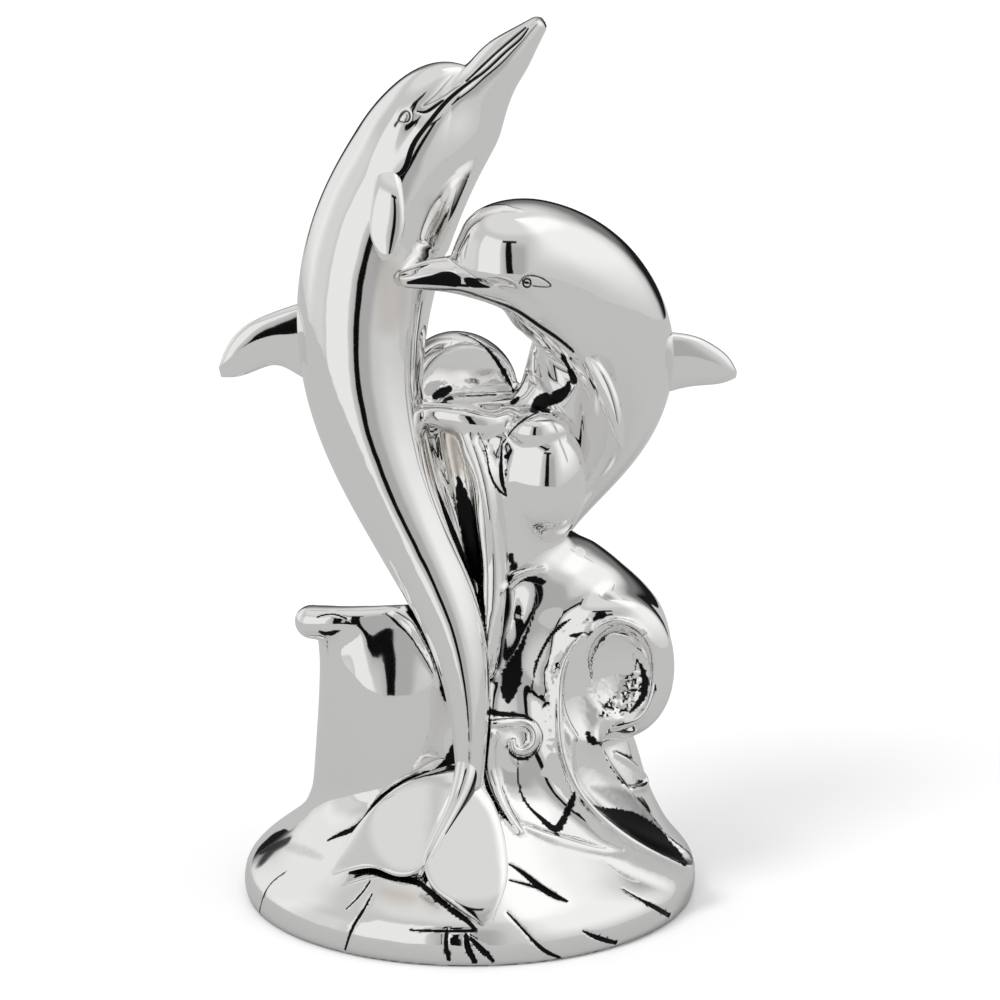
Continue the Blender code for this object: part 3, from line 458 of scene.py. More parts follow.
def body_rings(shape, run, angle):
    """Rings of a dolphin's body at the ways along its spine in run."""
    spine, even = fair_path(shape["spine"], SPINE_STEPS)
    path, ahead = (np.column_stack([np.interp(run, even, column) for column in table.T])
                   for table in (spine, unit(np.gradient(spine, axis=0))))
    ahead = unit(ahead)
    side = unit(FRONT - ahead * (ahead @ FRONT)[:, None])
    back = shape["hand"] * unit(np.cross(side, ahead))
    girth, beak = np.array(shape["girth"]), np.array(shape["beak"])
    up, down, wide = fair_curve(girth[:, 0], girth[:, 1:], run).T[:, :, None]
    beak_up, beak_wide = fair_curve(beak[:, 0], beak[:, 1:], run).T[:, :, None]
    angle, run = angle[None, :], run[:, None]
    share = 1 - np.cos(angle)
    start, length = (np.interp(share, FOREHEAD_PLACES, column) for column in zip(*shape["forehead"]))
    rise = np.clip((run - start) / length, 0, 1)
    brow = np.sqrt(1 - (1 - rise) ** 2) * oval(angle, up, down, wide)
    keep = 1 - smooth_step(beak[-1, 0] - BEAK_FADE, beak[-1, 0] + BEAK_FADE, run)
    cheek = smooth_step(0.2, 1.0, share) * (1 - rise)
    softness = CREASE_SOFTNESS + (CHEEK_SOFTNESS - CREASE_SOFTNESS) * cheek
    reach = larger(brow, keep * oval(angle, beak_up, down, beak_wide), softness)
    nose = np.sqrt(np.clip(1 - (1 - np.clip(run / NOSE_ROUNDING, 0, 1)) ** 2, 0.03, 1))
    return path[:, None] + (reach * nose)[..., None] * around(angle, back, side)


def blade_rings(edges, thickness, steps, size, taper=0.45, fullness=1.0):
    """Rings of a fin between its leading and its trailing edge, thinning to a rounded tip."""
    (lead, _), (trail, _) = (fair_path(edge, steps) for edge in edges)
    out = unit(np.gradient((lead + trail) / 2, axis=0))
    across = trail - lead
    flat = unit(np.cross(across, out))
    angle = np.linspace(0, math.tau, size, endpoint=False)
    share = (1 - np.cos(angle)) / 2
    profile = np.sign(np.sin(angle)) * np.abs(np.sin(angle)) ** fullness * (1.25 - 0.5 * share)
    along = np.linspace(0, 1, steps)
    thick = thickness / 2 * (1 - taper * along) * np.sqrt(np.clip(1 - along ** 12, 0.1, 1))
    return lead[:, None] + share[None, :, None] * across[:, None] \
        + (thick[:, None] * profile[None])[..., None] * flat[:, None]


# Water as one field: negative inside, zero on the skin, and far away where no form is within reach
FAR, REACH = 1000.0, 9.0
ROPE_STEPS, SECTION_STEPS, END_ROUNDING = 24, 200, 4.0


def blend(a, b, reach):
    """Union of two fields with a fillet of that reach."""
    h = np.clip(reach - np.abs(a - b), 0, None) / reach
    return np.minimum(a, b) - h * h * reach / 4


def carve(a, b, reach):
    """Field a without field b, with a rounded edge of that reach."""
    return -blend(-a, b, reach)


def beside_step(p, start, step):
    """How far along a straight step each point lies, from 0 to 1, and its distance from the step."""
    share = np.clip((p - start) @ step / (step @ step), 0, 1)
    return share, np.linalg.norm(p - start - share[:, None] * step, axis=1)


def within_reach(p, low, high, field):
    """A form's field, worked out only near the form; all other points count as far away."""
    value = np.full(len(p), FAR)
    near = np.all((p > np.asarray(low) - REACH) & (p < np.asarray(high) + REACH), axis=1)
    if near.any():
        value[near] = field(p[near])
    return value


def cord(p, line):
    """Field of a round cord along close points that end with its half thickness."""
    thick = line[:, 3].max()

    def field(near):
        nearest_gap = np.full(len(near), FAR)
        for start, end in zip(line, line[1:]):
            share, gap = beside_step(near, start[:3], end[:3] - start[:3])
            nearest_gap = np.minimum(nearest_gap, gap - start[3] - share * (end[3] - start[3]))
        return nearest_gap

    return within_reach(p, line[:, :3].min(axis=0) - thick, line[:, :3].max(axis=0) + thick, field)


def rope(p, path):
    """Field of a round rope through a few points that end with its half thickness."""
    return cord(p, fair_path(path, ROPE_STEPS)[0])


def ball(p, middle, half_sizes, turn, nod):
    """Field of a ball stretched to its half sizes, nodded about x and then turned about y."""
    middle, half_sizes = np.array(middle, float), np.array(half_sizes, float)
    turned = Matrix.Rotation(math.radians(turn), 3, "Y") @ Matrix.Rotation(math.radians(nod), 3, "X")
    turned = np.array(turned)

    def field(near):
        q = (near - middle) @ turned / half_sizes
        r = np.linalg.norm(q, axis=1)
        return r * (r - 1) / np.maximum(np.linalg.norm(q / half_sizes, axis=1), 1e-6)

    return within_reach(p, middle - half_sizes.max(), middle + half_sizes.max(), field)


def stack(p, sections, upright=False, roundness=ROUNDNESS):
    """Field of a mass drawn as level sections, or as upright ones from front to back."""
    rows = np.array(sections, float)
    order = [1, 0, 2] if upright else [2, 0, 1]
    dense = np.linspace(rows[0, 0], rows[-1, 0], SECTION_STEPS)
    table = fair_curve(rows[:, 0], rows[:, 1:], dense)
    power = 2 / roundness
    middles, halves, back = table[:, :2], table[:, 2:], np.argsort(order)
    low = np.append(rows[0, 0], (middles - halves).min(axis=0))[back]
    high = np.append(rows[-1, 0], (middles + halves).max(axis=0))[back]

    def field(near):
        at, first, second = near[:, order].T
        place = np.clip(at, rows[0, 0], rows[-1, 0])
        mid_1, mid_2, half_1, half_2 = (np.interp(place, dense, column) for column in table.T)
        u, v = np.abs(first - mid_1) / half_1, np.abs(second - mid_2) / half_2
        ratio = (u ** power + v ** power + 1e-9) ** (1 / power)
        wall = (ratio - 1) * np.minimum(half_1, half_2)
        return carve(wall, -np.maximum(at - rows[-1, 0], rows[0, 0] - at), END_ROUNDING)

    return within_reach(p, low, high, field)


# The table of distances from the foot's outline: its cell, its span out and up, its start below
FOOT_CELL, FOOT_SPAN, FOOT_BELOW = 0.5, (90.0, 60.0), 6


def foot_profile():
    rim = [(FOOT_RADIUS + step, height) for step, height in FOOT_EDGE]
    return rim + [(share * FOOT_RADIUS, height) for share, height in SEA_SWELL]


def sea_height(distance):
    """Height of the swell at a distance from the foot's axis."""
    rows = sorted(foot_profile()[len(FOOT_EDGE) - 1:])
    return fair_curve(*zip(*rows), np.atleast_1d(distance))[:, 0]


def on_the_sea(edge):
    """Points with their height over the swell made their real height."""
    return [(x, y, float(sea_height(math.hypot(x, y))[0]) + lift, *thick) for x, y, lift, *thick in edge]


def foot_table():
    """Distance from the foot's outline, on a grid of distance from its axis and height."""
    line = fair_path([(r, 0, z) for r, z in foot_profile()], 60)[0][:, (0, 2)]
    out, up = (np.arange(0, span + FOOT_CELL, FOOT_CELL) for span in FOOT_SPAN)
    q = np.stack(np.meshgrid(out, up - FOOT_BELOW, indexing="ij"), axis=-1).reshape(-1, 2)
    gap = np.min([beside_step(q, a, b - a)[1] for a, b in zip(line, line[1:])], axis=0)
    upper = line[line[:, 1] >= FOOT_EDGE[-2][1]][::-1]
    top = np.interp(q[:, 0], upper[:, 0], upper[:, 1])
    edge = np.interp(q[:, 1], line[:, 1], line[:, 0])
    within = (q[:, 1] < np.where(q[:, 0] > upper[-1, 0] - 0.01, FAR, top)) & (q[:, 0] < edge)
    return np.where(within, -gap, gap).reshape(len(out), len(up))


FOOT_DISTANCES = foot_table()


def foot(p):
    """Field of the round foot with the sea's swell."""
    table = FOOT_DISTANCES
    across = np.hypot(p[:, 0], p[:, 1])
    draw = SIDE_DRAW * smooth_step(*SIDE_DRAW_HEIGHTS, p[:, 2]) * (p[:, 0] / np.maximum(across, 1e-6)) ** 2
    last = np.array(table.shape) - 1.001
    place = np.column_stack((across / (1 - draw), p[:, 2] + FOOT_BELOW)) / FOOT_CELL
    beyond = np.linalg.norm(np.maximum(place - last, 0), axis=1) * FOOT_CELL
    place = np.clip(place, 0, last)
    cell = place.astype(int)
    u, v = (place - cell).T
    i, j = cell.T
    return (1 - u) * ((1 - v) * table[i, j] + v * table[i, j + 1]) \
        + u * ((1 - v) * table[i + 1, j] + v * table[i + 1, j + 1]) + beyond


def wave_folds(p):
    """How far the left wave's soft folds stand out of its front."""
    rise = sum(height * np.exp(-((p[:, 0] - across) / wide) ** 2) for across, wide, height in WAVE_FOLDS)
    return rise * smooth_step(*FOLD_FADE, p[:, 2]) * (p[:, 1] < 0)


def masses(p):
    """Field of the foot, the waves, the curl and the splashes, without their fine edges."""
    wave = stack(p, LEFT_WAVE, roundness=LEFT_WAVE_ROUNDNESS) - wave_folds(p)
    dome = carve(ball(p, *DOME), ball(p, *DOME_FACE), 0.8)
    bulb = blend(ball(p, *BULB[0]), ball(p, *BULB[1]), 7)
    sea = foot(p)
    for join, form, reach in (
            (blend, wave, 5), (blend, rope(p, LEFT_LIP), 3), (blend, stack(p, MIDDLE_WATER), 6),
            (blend, stack(p, CURL_BACK), 6), (blend, stack(p, CURL_SHOULDER, True), 5),
            (blend, ball(p, *CURL_FILL), 4), (blend, stack(p, CURL_ROLL, True, CURL_ROUNDNESS), 2.5),
            *((blend, rope(p, fold), 5) for fold in BACK_FOLDS),
            (blend, rope(p, WEB), 4), (carve, ball(p, *CUP), 1.5), (blend, dome, 1.5),
            (blend, rope(p, GROOVE_RIDGE), 2.5), (blend, bulb, 2), (blend, ball(p, *LEAF), 3),
            (blend, ball(p, *PETAL), 0.8), (blend, rope(p, LEDGE), 2), (carve, rope(p, GROOVE), 2),
            (blend, rope(p, FRONT_WAVE), 5), (carve, rope(p, SCOOP), 1), (carve, rope(p, TROUGH), 0.8),
            *((carve, ball(p, *hollow), 1.2) for hollow in CURL_BOWL)):
        sea = join(sea, form, reach)
    return np.maximum(sea, -p[:, 2])


# Steps for each point of a line, and where on a line of sight the water is looked for, in ways to the aim
LINE_STEPS, SEARCH, SEARCH_STEPS, SEARCH_ROUNDS, MEDIAN_REACH = 6, (0.92, 1.07), 200, 6, 2


def draped(line):
    """A line of the front view, laid on the water where the eye meets it; the median drops single leaps."""
    rows = fair_path(line, LINE_STEPS * len(line))[0]
    across, down, thick = rows[:, :3].T
    lift = rows[:, 3:] if rows.shape[1] > 3 else np.zeros((len(rows), 1))
    ray = ((across - FRAME_WIDTH / 2) / SIGHT_SCALE)[:, None] * np.array((1.0, 0, 0)) \
        + ((FRAME_WIDTH / 2 - down) / SIGHT_SCALE)[:, None] * VIEW_UP - SIGHT_DISTANCE * BACK_TO_EYE
    way = np.linspace(*SEARCH, SEARCH_STEPS)
    inside = masses((EYE + way[None, :, None] * ray[:, None]).reshape(-1, 3)).reshape(len(ray), -1) < 0
    met = inside.any(axis=1)
    far = way[inside.argmax(axis=1)]
    near = far - (way[1] - way[0])
    for _ in range(SEARCH_ROUNDS):
        halfway = (near + far) / 2
        within = masses(EYE + halfway[:, None] * ray) < 0
        near, far = np.where(within, near, halfway), np.where(within, halfway, far)
    padded = np.pad(far[met], MEDIAN_REACH, mode="edge")
    depth = np.median([padded[k:k + met.sum()] for k in range(2 * MEDIAN_REACH + 1)], axis=0)
    return np.column_stack((EYE + depth[:, None] * ray[met] + lift[met] * BACK_TO_EYE, thick[met]))


RAISED_CORDS = [draped(line) for line in RAISED]
TAIL_RIDGE_CORD = draped(TAIL_RIDGE)
CUT_CORDS = [draped(line) for line in CUT_LINES]
DARK_CORDS = [(1.0, 0.0, draped(line)) for line in BLACK_PAINTED_SHADE]
DARK_CORDS += [(dark, brown, draped(line)) for dark, brown, line in GREY_PAINTED_SHADE]
FOAM_CORDS = [(height, draped(line)) for height, line in FOAM]


def water(p):
    """Field of all the water, its fine edges and cut lines included."""
    sea = blend(masses(p), cord(p, TAIL_RIDGE_CORD), 1.6)
    for line in RAISED_CORDS:
        sea = blend(sea, cord(p, line), 0.8)
    for line in CUT_CORDS:
        sea = carve(sea, cord(p, line), 0.3)
    return np.maximum(sea, -p[:, 2])


# A skin over the field
FOUR_CORNERS = np.array(((1, -1, -1), (-1, -1, 1), (-1, 1, -1), (1, 1, 1)), float)
CELL_CORNERS = tuple(itertools.product((0, 1), repeat=3))
OTHER_AXES = ([1, 2], [0, 2], [0, 1])
# Fine cells along a coarse one, and how far from the skin the fine ones reach, in coarse ones
COARSE, COARSE_REACH = 4, 1.9


def field_slope(field, p, step=0.05):
    """The field and its slope at the points, from four corners around each."""
    value, slope = np.zeros(len(p)), np.zeros_like(p)
    for corner in FOUR_CORNERS:
        at = field(p + step * corner)
        value += at / 4
        slope += at[:, None] * corner / (4 * step)
    return value, slope


def onto(field, p, rounds=2):
    """Points moved onto the field's skin."""
    for _ in range(rounds):
        value, slope = field_slope(field, p)
        size = np.maximum(np.sum(slope * slope, axis=1), 0.05)
        p = p - np.clip(value / size, -1.0, 1.0)[:, None] * slope
    return p


def refined(grid, shape):
    """A coarse grid's values, repeated for the fine cells and cut to the fine grid's shape."""
    for axis in range(3):
        grid = np.repeat(grid, COARSE, axis)
    return grid[:shape[0], :shape[1], :shape[2]].copy()


def field_grid(field, low, high, cell):
    """The field on a grid, worked out at the fine cells only near its skin."""
    axes = [np.arange(start, end + COARSE * cell, cell) for start, end in zip(low, high)]
    shape = [len(axis) // COARSE * COARSE + 1 for axis in axes]
    axes = [start + cell * np.arange(count) for start, count in zip(low, shape)]
    coarse = np.stack(np.meshgrid(*(axis[::COARSE] for axis in axes), indexing="ij"), axis=-1)
    value = field(coarse.reshape(-1, 3)).reshape(coarse.shape[:3])
    near = np.abs(value) < COARSE * cell * COARSE_REACH
    spread = np.zeros_like(near)
    for corner in CELL_CORNERS:
        spread |= np.roll(near, [-step for step in corner], (0, 1, 2))
    full = refined(value, shape)
    i, j, k = np.nonzero(refined(spread, shape))
    full[i, j, k] = field(np.column_stack((axes[0][i], axes[1][j], axes[2][k])))
    return full


def cell_points(full, crossed):
    """A point in each crossed cell: the mean of the places where the skin cuts its edges."""
    total, crossings = np.zeros((len(crossed), 3)), np.zeros(len(crossed))
    for axis, others in enumerate(OTHER_AXES):
        for steps in itertools.product((0, 1), repeat=2):
            start = crossed.copy()
            start[:, others] += steps
            end = start.copy()
            end[:, axis] += 1
            a, b = full[tuple(start.T)], full[tuple(end.T)]
            cut = (a < 0) != (b < 0)
            place = start.astype(float)
            place[:, axis] += np.where(cut, a / np.where(cut, a - b, 1), 0)
            total[cut] += place[cut]
            crossings += cut
    return total / crossings[:, None]


def cell_faces(inside, number):
    """Quads between the numbered cells, one round each grid edge that the skin cuts."""
    faces = []
    for axis, others in enumerate(OTHER_AXES):
        cut = [slice(1, count - 1) for count in inside.shape]
        cut[axis] = slice(0, inside.shape[axis] - 1)
        change = (inside != np.roll(inside, -1, axis))[tuple(cut)]
        edge = np.column_stack(np.nonzero(change)) + [part.start for part in cut]
        quad = []
        for steps in ((1, 1), (0, 1), (0, 0), (1, 0)):
            cell = edge.copy()
            cell[:, others] -= steps
            quad.append(number[tuple(cell.T)])
        quad = np.column_stack(quad)
        turn = inside[tuple(edge.T)] == (axis != 1)
        quad[turn] = quad[turn][:, ::-1]
        faces.append(quad)
    return np.vstack(faces)


def wrap(field, low, high, cell):
    """Quads over the field's skin: points and faces."""
    full = field_grid(field, low, high, cell)
    inside = full < 0
    count = np.zeros([size - 1 for size in full.shape], np.int8)
    for corner in CELL_CORNERS:
        count += inside[tuple(slice(step, size - 1 + step) for step, size in zip(corner, full.shape))]
    crossed = np.column_stack(np.nonzero((count > 0) & (count < 8)))
    number = np.full(count.shape, -1)
    number[tuple(crossed.T)] = np.arange(len(crossed))
    return cell_points(full, crossed) * cell + np.array(low), cell_faces(inside, number)


def relaxed(field, points, faces, rounds):
    """Points evened out along the skin, and moved back onto it."""
    edges = np.vstack([faces[:, (k, (k + 1) % 4)] for k in range(4)])
    for _ in range(rounds):
        total, count = np.zeros_like(points), np.zeros(len(points))
        for a, b in ((0, 1), (1, 0)):
            for axis in range(3):
                total[:, axis] += np.bincount(edges[:, a], points[edges[:, b], axis], len(points))
            count += np.bincount(edges[:, a], minlength=len(points))
        points = onto(field, points + 0.7 * (total / count[:, None] - points), 1)
    return onto(field, points, 1)


def closer(points, faces, near):
    """Points and faces with the edges between near points cut in half."""
    body = bmesh.new()
    made = [body.verts.new(point) for point in points]
    for face in faces:
        body.faces.new([made[k] for k in face])
    body.verts.index_update()
    edges = [edge for edge in body.edges if near[edge.verts[0].index] and near[edge.verts[1].index]]
    bmesh.ops.subdivide_edges(body, edges=edges, cuts=1, use_grid_fill=True)
    body.verts.index_update()
    points = np.array([vertex.co for vertex in body.verts])
    faces = [[vertex.index for vertex in face.verts] for face in body.faces]
    body.free()
    return points, faces


# Marks and painted shade: how the edge of a sharp mark and of a soft patch of painted shade fades, out of
# its half width
SHARP_EDGE, SOFT_EDGE = (-0.1, 0.3), (-1.5, 2.5)


def in_view(p):
    """Where points show in the front view: across and down."""
    q = p - EYE
    scale = SIGHT_SCALE * SIGHT_DISTANCE / -(q @ BACK_TO_EYE)
    return FRAME_WIDTH / 2 + scale * q[..., 0], FRAME_WIDTH / 2 - scale * (q @ VIEW_UP)


def grid_normals(rings):
    """Outward directions of a skin over rings."""
    across = np.cross(np.roll(rings, -1, axis=1) - np.roll(rings, 1, axis=1), np.gradient(rings, axis=0))
    across /= np.maximum(np.linalg.norm(across, axis=-1, keepdims=True), 1e-9)
    outward = np.sum(across * (rings - rings.mean(axis=1, keepdims=True)))
    return across * np.sign(outward)


def marked(rings, marks):
    """Rings with marks cut into the side that faces the viewer, and their painted shade: darkness and warm
    brown share.
    """
    normals = grid_normals(rings)
    p, flat_normals = rings.reshape(-1, 3), normals.reshape(-1, 3)
    facing = smooth_step(0.0, 0.15, flat_normals @ BACK_TO_EYE)
    seen = np.column_stack((*in_view(p), np.zeros(len(p)))) / SIGHT_SCALE
    sunk, dark, brown = np.zeros(len(p)), np.zeros(len(p)), np.zeros(len(p))
    for depth, darkness, brownness, line in marks:
        line = np.array(line, float)
        line = np.column_stack((line[:, :2] / SIGHT_SCALE, np.zeros(len(line)), line[:, 2]))
        gap = cord(seen, fair_path(line, LINE_STEPS * len(line))[0])
        # Painted shade: crisp along sharp marks, soft where a mark has warm brown
        cut = facing * (1 - smooth_step(*SHARP_EDGE, gap))
        soft_shade = facing * (1 - smooth_step(*SOFT_EDGE, gap)) if brownness else cut
        sunk = np.maximum(sunk, depth * cut)
        dark = np.maximum(dark, darkness * soft_shade)
        brown = np.maximum(brown, brownness * soft_shade)
    p = p - sunk[:, None] * flat_normals
    return p.reshape(rings.shape), dark.reshape(rings.shape[:2]), brown.reshape(rings.shape[:2])


def shade(piece, **layers):
    """Stores painted shade, dark and warm, on a piece's points; the tips of its ends get none."""
    for name, values in layers.items():
        values = np.pad(np.asarray(values, float).ravel(), (0, len(piece.data.vertices) - np.size(values)))
        piece.data.attributes.new(name, "FLOAT", "POINT").data.foreach_set("value", values)


def nearest(p, cords):
    return np.min([cord(p, line) for line in cords], axis=0)


def grainy(points, size):
    return np.array([noise.noise(Vector(point) / size) for point in points])


def low_down(p, heights):
    """1 below those heights, and little above them: the painted shade fades out higher up."""
    return 1 - 0.8 * smooth_step(*heights, p[..., 2])


# Dolphins: angles round a body, close on the viewer's side, and ways along the spines
BODY_ANGLES = np.concatenate((np.linspace(0.06, math.pi - 0.06, 150),
                              np.linspace(math.pi, math.tau, 60, endpoint=False)))
TALL_WAYS = ((0, 50, 0.3), (50, 72, 0.6), (72, 207, 1.2))
ARCH_WAYS = ((0, 46, 0.3), (46, 131, 1.0))
# How far out the water paints shade on a dolphin, and up to where
TOUCH_REACH, TOUCH_HEIGHTS = 1.2, (98, 110)


def dolphin(name, shape, marks, ways):
    """One dolphin's skin with its marks, with painted shade where it touches the water."""
    run = np.concatenate([np.arange(start, end, step) for start, end, step in ways])
    rings, dark, brown = marked(body_rings(shape, run, BODY_ANGLES), marks)
    piece = ring_skin(name, rings)
    gap = water((rings + TOUCH_REACH * grid_normals(rings)).reshape(-1, 3)).reshape(dark.shape)
    # Painted shade where the dolphin touches the water, less higher up
    contact_shade = 0.9 * (1 - smooth_step(0.0, 0.8, gap)) * low_down(rings, TOUCH_HEIGHTS)
    shade(piece, tarnish=np.maximum(dark, contact_shade), brown=brown)
    return piece


# The sea's skin: the box it lies in, its cell, and how near to a line its mesh gets finer
SEA_LOW, SEA_HIGH, SEA_CELL = (-60, -60, -2), (62, 60, 146), 1.0
NEAR_FINE, NEAR_DARK_EDGE, NEAR_FINEST = 0.9, 0.7, 0.3
# How far out hollows and neighbours paint shade on it, and up to where; sizes of the foam's grains and lumps
HOLLOW_REACH, BESIDE_REACH, HOLLOW_HEIGHTS = 2.6, 1.4, (86, 102)
FOAM_GRAIN, FOAM_LUMP = 0.75, 1.7
# Darkness from which a place of painted shade has a crisp edge, and the softness of crisp and of soft edges
CRISP_FROM, CRISP, SOFT_SHADE_EDGE = 0.75, 0.2, 2.2


def sea_mesh():
    """Points and quads of all the water, smaller along its lines, and the outward directions."""
    points, faces = wrap(water, SEA_LOW, SEA_HIGH, SEA_CELL)
    points = relaxed(water, points, faces, 3)
    fine_cords = RAISED_CORDS + [TAIL_RIDGE_CORD] + CUT_CORDS + [line for _, line in FOAM_CORDS]
    dark_edge = np.any([np.abs(cord(points, line)) < NEAR_DARK_EDGE for *_, line in DARK_CORDS], axis=0)
    points, faces = closer(points, faces, (nearest(points, fine_cords) < NEAR_FINE) | dark_edge)
    points = onto(water, points)
    points, faces = closer(points, faces, nearest(points, RAISED_CORDS + CUT_CORDS) < NEAR_FINEST)
    points = onto(water, points)
    return points, faces, unit(field_slope(water, points)[1] + 1e-9)


def sea_tarnish(points, normals, dolphins):
    """Painted shade, dark and warm brown: in hollows, beside the dolphins, in cut lines and in the listed
    places.
    """
    hollow = np.clip(1 - water(points + HOLLOW_REACH * normals) / HOLLOW_REACH, 0, 1)
    trees = [BVHTree.FromObject(piece, bpy.context.evaluated_depsgraph_get()) for piece in dolphins]
    beside = np.array([min(tree.find_nearest(Vector(point) * PART)[3] for tree in trees) / PART
                       for point in points + BESIDE_REACH * normals])
    low = low_down(points, HOLLOW_HEIGHTS)
    # Painted shade in hollows, beside the dolphins and in the cut lines
    dark = np.max((0.95 * smooth_step(0.45, 0.95, hollow) * low,
                   0.9 * (1 - smooth_step(0.2, 1.0, beside)) * low,
                   0.95 * (1 - smooth_step(0.04, 0.16, nearest(points, CUT_CORDS)))), axis=0)
    brown = np.zeros(len(points))
    for darkness, brownness, line in DARK_CORDS:
        soft = CRISP if darkness > CRISP_FROM else SOFT_SHADE_EDGE
        share = 1 - smooth_step(-soft, soft, cord(points, line))
        dark = np.maximum(dark, darkness * share)
        brown = np.maximum(brown, brownness * share)
    return dark, brown


def sea_and_waves(dolphins):
    """The water's skin, with grainy foam that has painted shade in its pits."""
    points, faces, normals = sea_mesh()
    dark, brown = sea_tarnish(points, normals, dolphins)
    foam = np.max([height * (1 - smooth_step(-2.0, 0.5, cord(points, line)))
                   for height, line in FOAM_CORDS], axis=0)
    frothy = foam > 0.005
    foam, start = foam[frothy], points[frothy]
    height = grainy(start, FOAM_GRAIN) + 0.6 * grainy(start + 40, FOAM_LUMP)
    points[frothy] += (foam * height)[:, None] * normals[frothy]
    # Painted shade in the foam's pits
    pit_shade = np.clip(foam / 0.3, 0, 1) * smooth_step(0.05, -0.3, height)
    dark[frothy] = np.maximum(dark[frothy], pit_shade)
    piece = skin("sea_and_waves", points, faces)
    shade(piece, tarnish=dark, brown=brown)
    return piece


# Fins, flukes and keel, and the far side's plainer flippers: steps out and around of each skin
FIN_MESH, FAR_FIN_MESH, FLUKE_MESH, KEEL_MESH = (60, 56), (40, 40), (60, 64), (60, 48)
FLUKE_TAPER, FLUKE_FULLNESS = 0.3, 0.4
# Middle plane in which a near flipper is mirrored to the far side
FAR_SIDES = {"tall_flipper": 5.0, "arch_flipper": 1.5}


def fins():
    made = [ring_skin(name, blade_rings((lead, trail), thick, *FIN_MESH, fullness=fullness))
            for name, (lead, trail, thick, fullness) in FINS.items()]
    for name, plane in FAR_SIDES.items():
        lead, trail, thick, _ = FINS[name]
        far = [[(x, 2 * plane - y, z) for x, y, z in edge] for edge in (lead, trail)]
        made.append(ring_skin("far_" + name, blade_rings(far, thick, *FAR_FIN_MESH)))
    return made


def flukes():
    return [ring_skin(name, blade_rings([on_the_sea(edge) for edge in edges], FLUKE_THICKNESS, *FLUKE_MESH,
                                        FLUKE_TAPER, FLUKE_FULLNESS))
            for name, edges in FLUKES.items()]


def keel():
    """The tail's keel between the flukes, with painted shade along its right side."""
    path, _ = fair_path(on_the_sea(KEEL), KEEL_MESH[0])
    ahead = unit(np.gradient(path[:, :3], axis=0))
    side = unit(np.cross(ahead, (0.13, -1.0, 0.21)))
    angle = np.linspace(0, math.tau, KEEL_MESH[1], endpoint=False)[None, :]
    rings = path[:, None, :3] + path[:, 3][:, None, None] * around(angle, np.cross(side, ahead), side)
    piece = ring_skin("keel", rings)
    # Painted shade along the keel's right side
    shade(piece, tarnish=0.95 * smooth_step(0.62, 0.72, grid_normals(rings)[..., 0]))
    return piece


dolphins = [dolphin("tall_dolphin", TALL, TALL_MARKS, TALL_WAYS),
            dolphin("arching_dolphin", ARCH, ARCH_MARKS, ARCH_WAYS)]
pieces = [*dolphins, sea_and_waves(dolphins), *fins(), *flukes(), keel()]


# Finish: colours of the silver and of its warm and black painted shade and reflections, and the angle from
# which an edge isn't smoothed
SILVER, WARM, BLACK = (0.92, 0.915, 0.905, 1), (0.66, 0.60, 0.51, 1), (0.012, 0.012, 0.013, 1)
SHARP_FOLD = math.radians(50)


class Value:
    """A shader value that takes part in sums."""

    def __init__(self, tree, socket=None):
        self.tree, self.socket = tree, socket

    def node(self, kind, settings, sockets, output=0):
        """New node: its settings first, then values or links of its sockets."""
        made = self.tree.nodes.new(kind)
        for name, setting in settings.items():
            setattr(made, name, setting)
        for name, value in sockets.items():
            if isinstance(value, Value):
                self.tree.links.new(value.socket, made.inputs[name])
            else:
                made.inputs[name].default_value = value
        return Value(self.tree, made.outputs[output])

    def maths(self, operation, *values):
        return self.node("ShaderNodeMath", {"operation": operation}, dict(enumerate(values)))

    def __add__(self, other):
        return self.maths("ADD", self, other)

    __radd__ = __add__

    def __sub__(self, other):
        return self.maths("SUBTRACT", self, other)

    def __rsub__(self, other):
        return self.maths("SUBTRACT", other, self)

    def __mul__(self, other):
        return self.maths("MULTIPLY", self, other)

    __rmul__ = __mul__

    def step(self, low, high):
        """0 below low, 1 above high, smooth between."""
        return self.node("ShaderNodeMapRange", {"interpolation_type": "SMOOTHSTEP"},
                         dict(enumerate((self, low, high, 0.0, 1.0))))

    def band(self, low, high, soft):
        """1 between low and high, with edges that soft, and 0 beyond them."""
        return self.step(low - soft, low + soft) * (1.0 - self.step(high - soft, high + soft))


def mixed(share, first, second):
    """Colour between two colours."""
    return share.node("ShaderNodeMix", {"data_type": "RGBA"}, {0: share, 6: first, 7: second}, 2)


def polished_silver():
    """Polished silver, black and rougher where shade is painted, warmer and rougher where warm shade and
    reflections are painted.
    """
    material = bpy.data.materials.new("polished_silver")
    material.use_nodes = True
    tree = material.node_tree
    shader = tree.nodes["Principled BSDF"]
    start = Value(tree)
    tarnish, brown = (start.node("ShaderNodeAttribute", {"attribute_name": name}, {}, "Fac")
                      for name in ("tarnish", "brown"))
    place = start.node("ShaderNodeTexCoord", {}, {}, "Object")
    grain = start.node("ShaderNodeTexNoise", {}, {"Vector": place, "Scale": 700.0, "Detail": 3.0})
    waver = start.node("ShaderNodeTexNoise", {}, {"Vector": place, "Scale": 110.0, "Detail": 1.0})
    # Black painted shade and dark reflections, broken up by a fine grain
    broken = (tarnish + 0.08 * (grain - 0.5)).step(0.3, 0.8)
    relief = {"Distance": 0.00012, "Height": waver + 0.03 * grain}
    # Silver, warm brown where warm shade and reflections are painted, black where shade is painted
    for name, value in (("Base Color", mixed(broken, mixed(brown, SILVER, WARM), BLACK)),
                        ("Roughness", 0.05 + 0.3 * broken + 0.25 * brown),
                        ("Normal", start.node("ShaderNodeBump", {}, relief, "Normal"))):
        tree.links.new(value.socket, shader.inputs[name])
    shader.inputs["Metallic"].default_value = 1.0
    return material


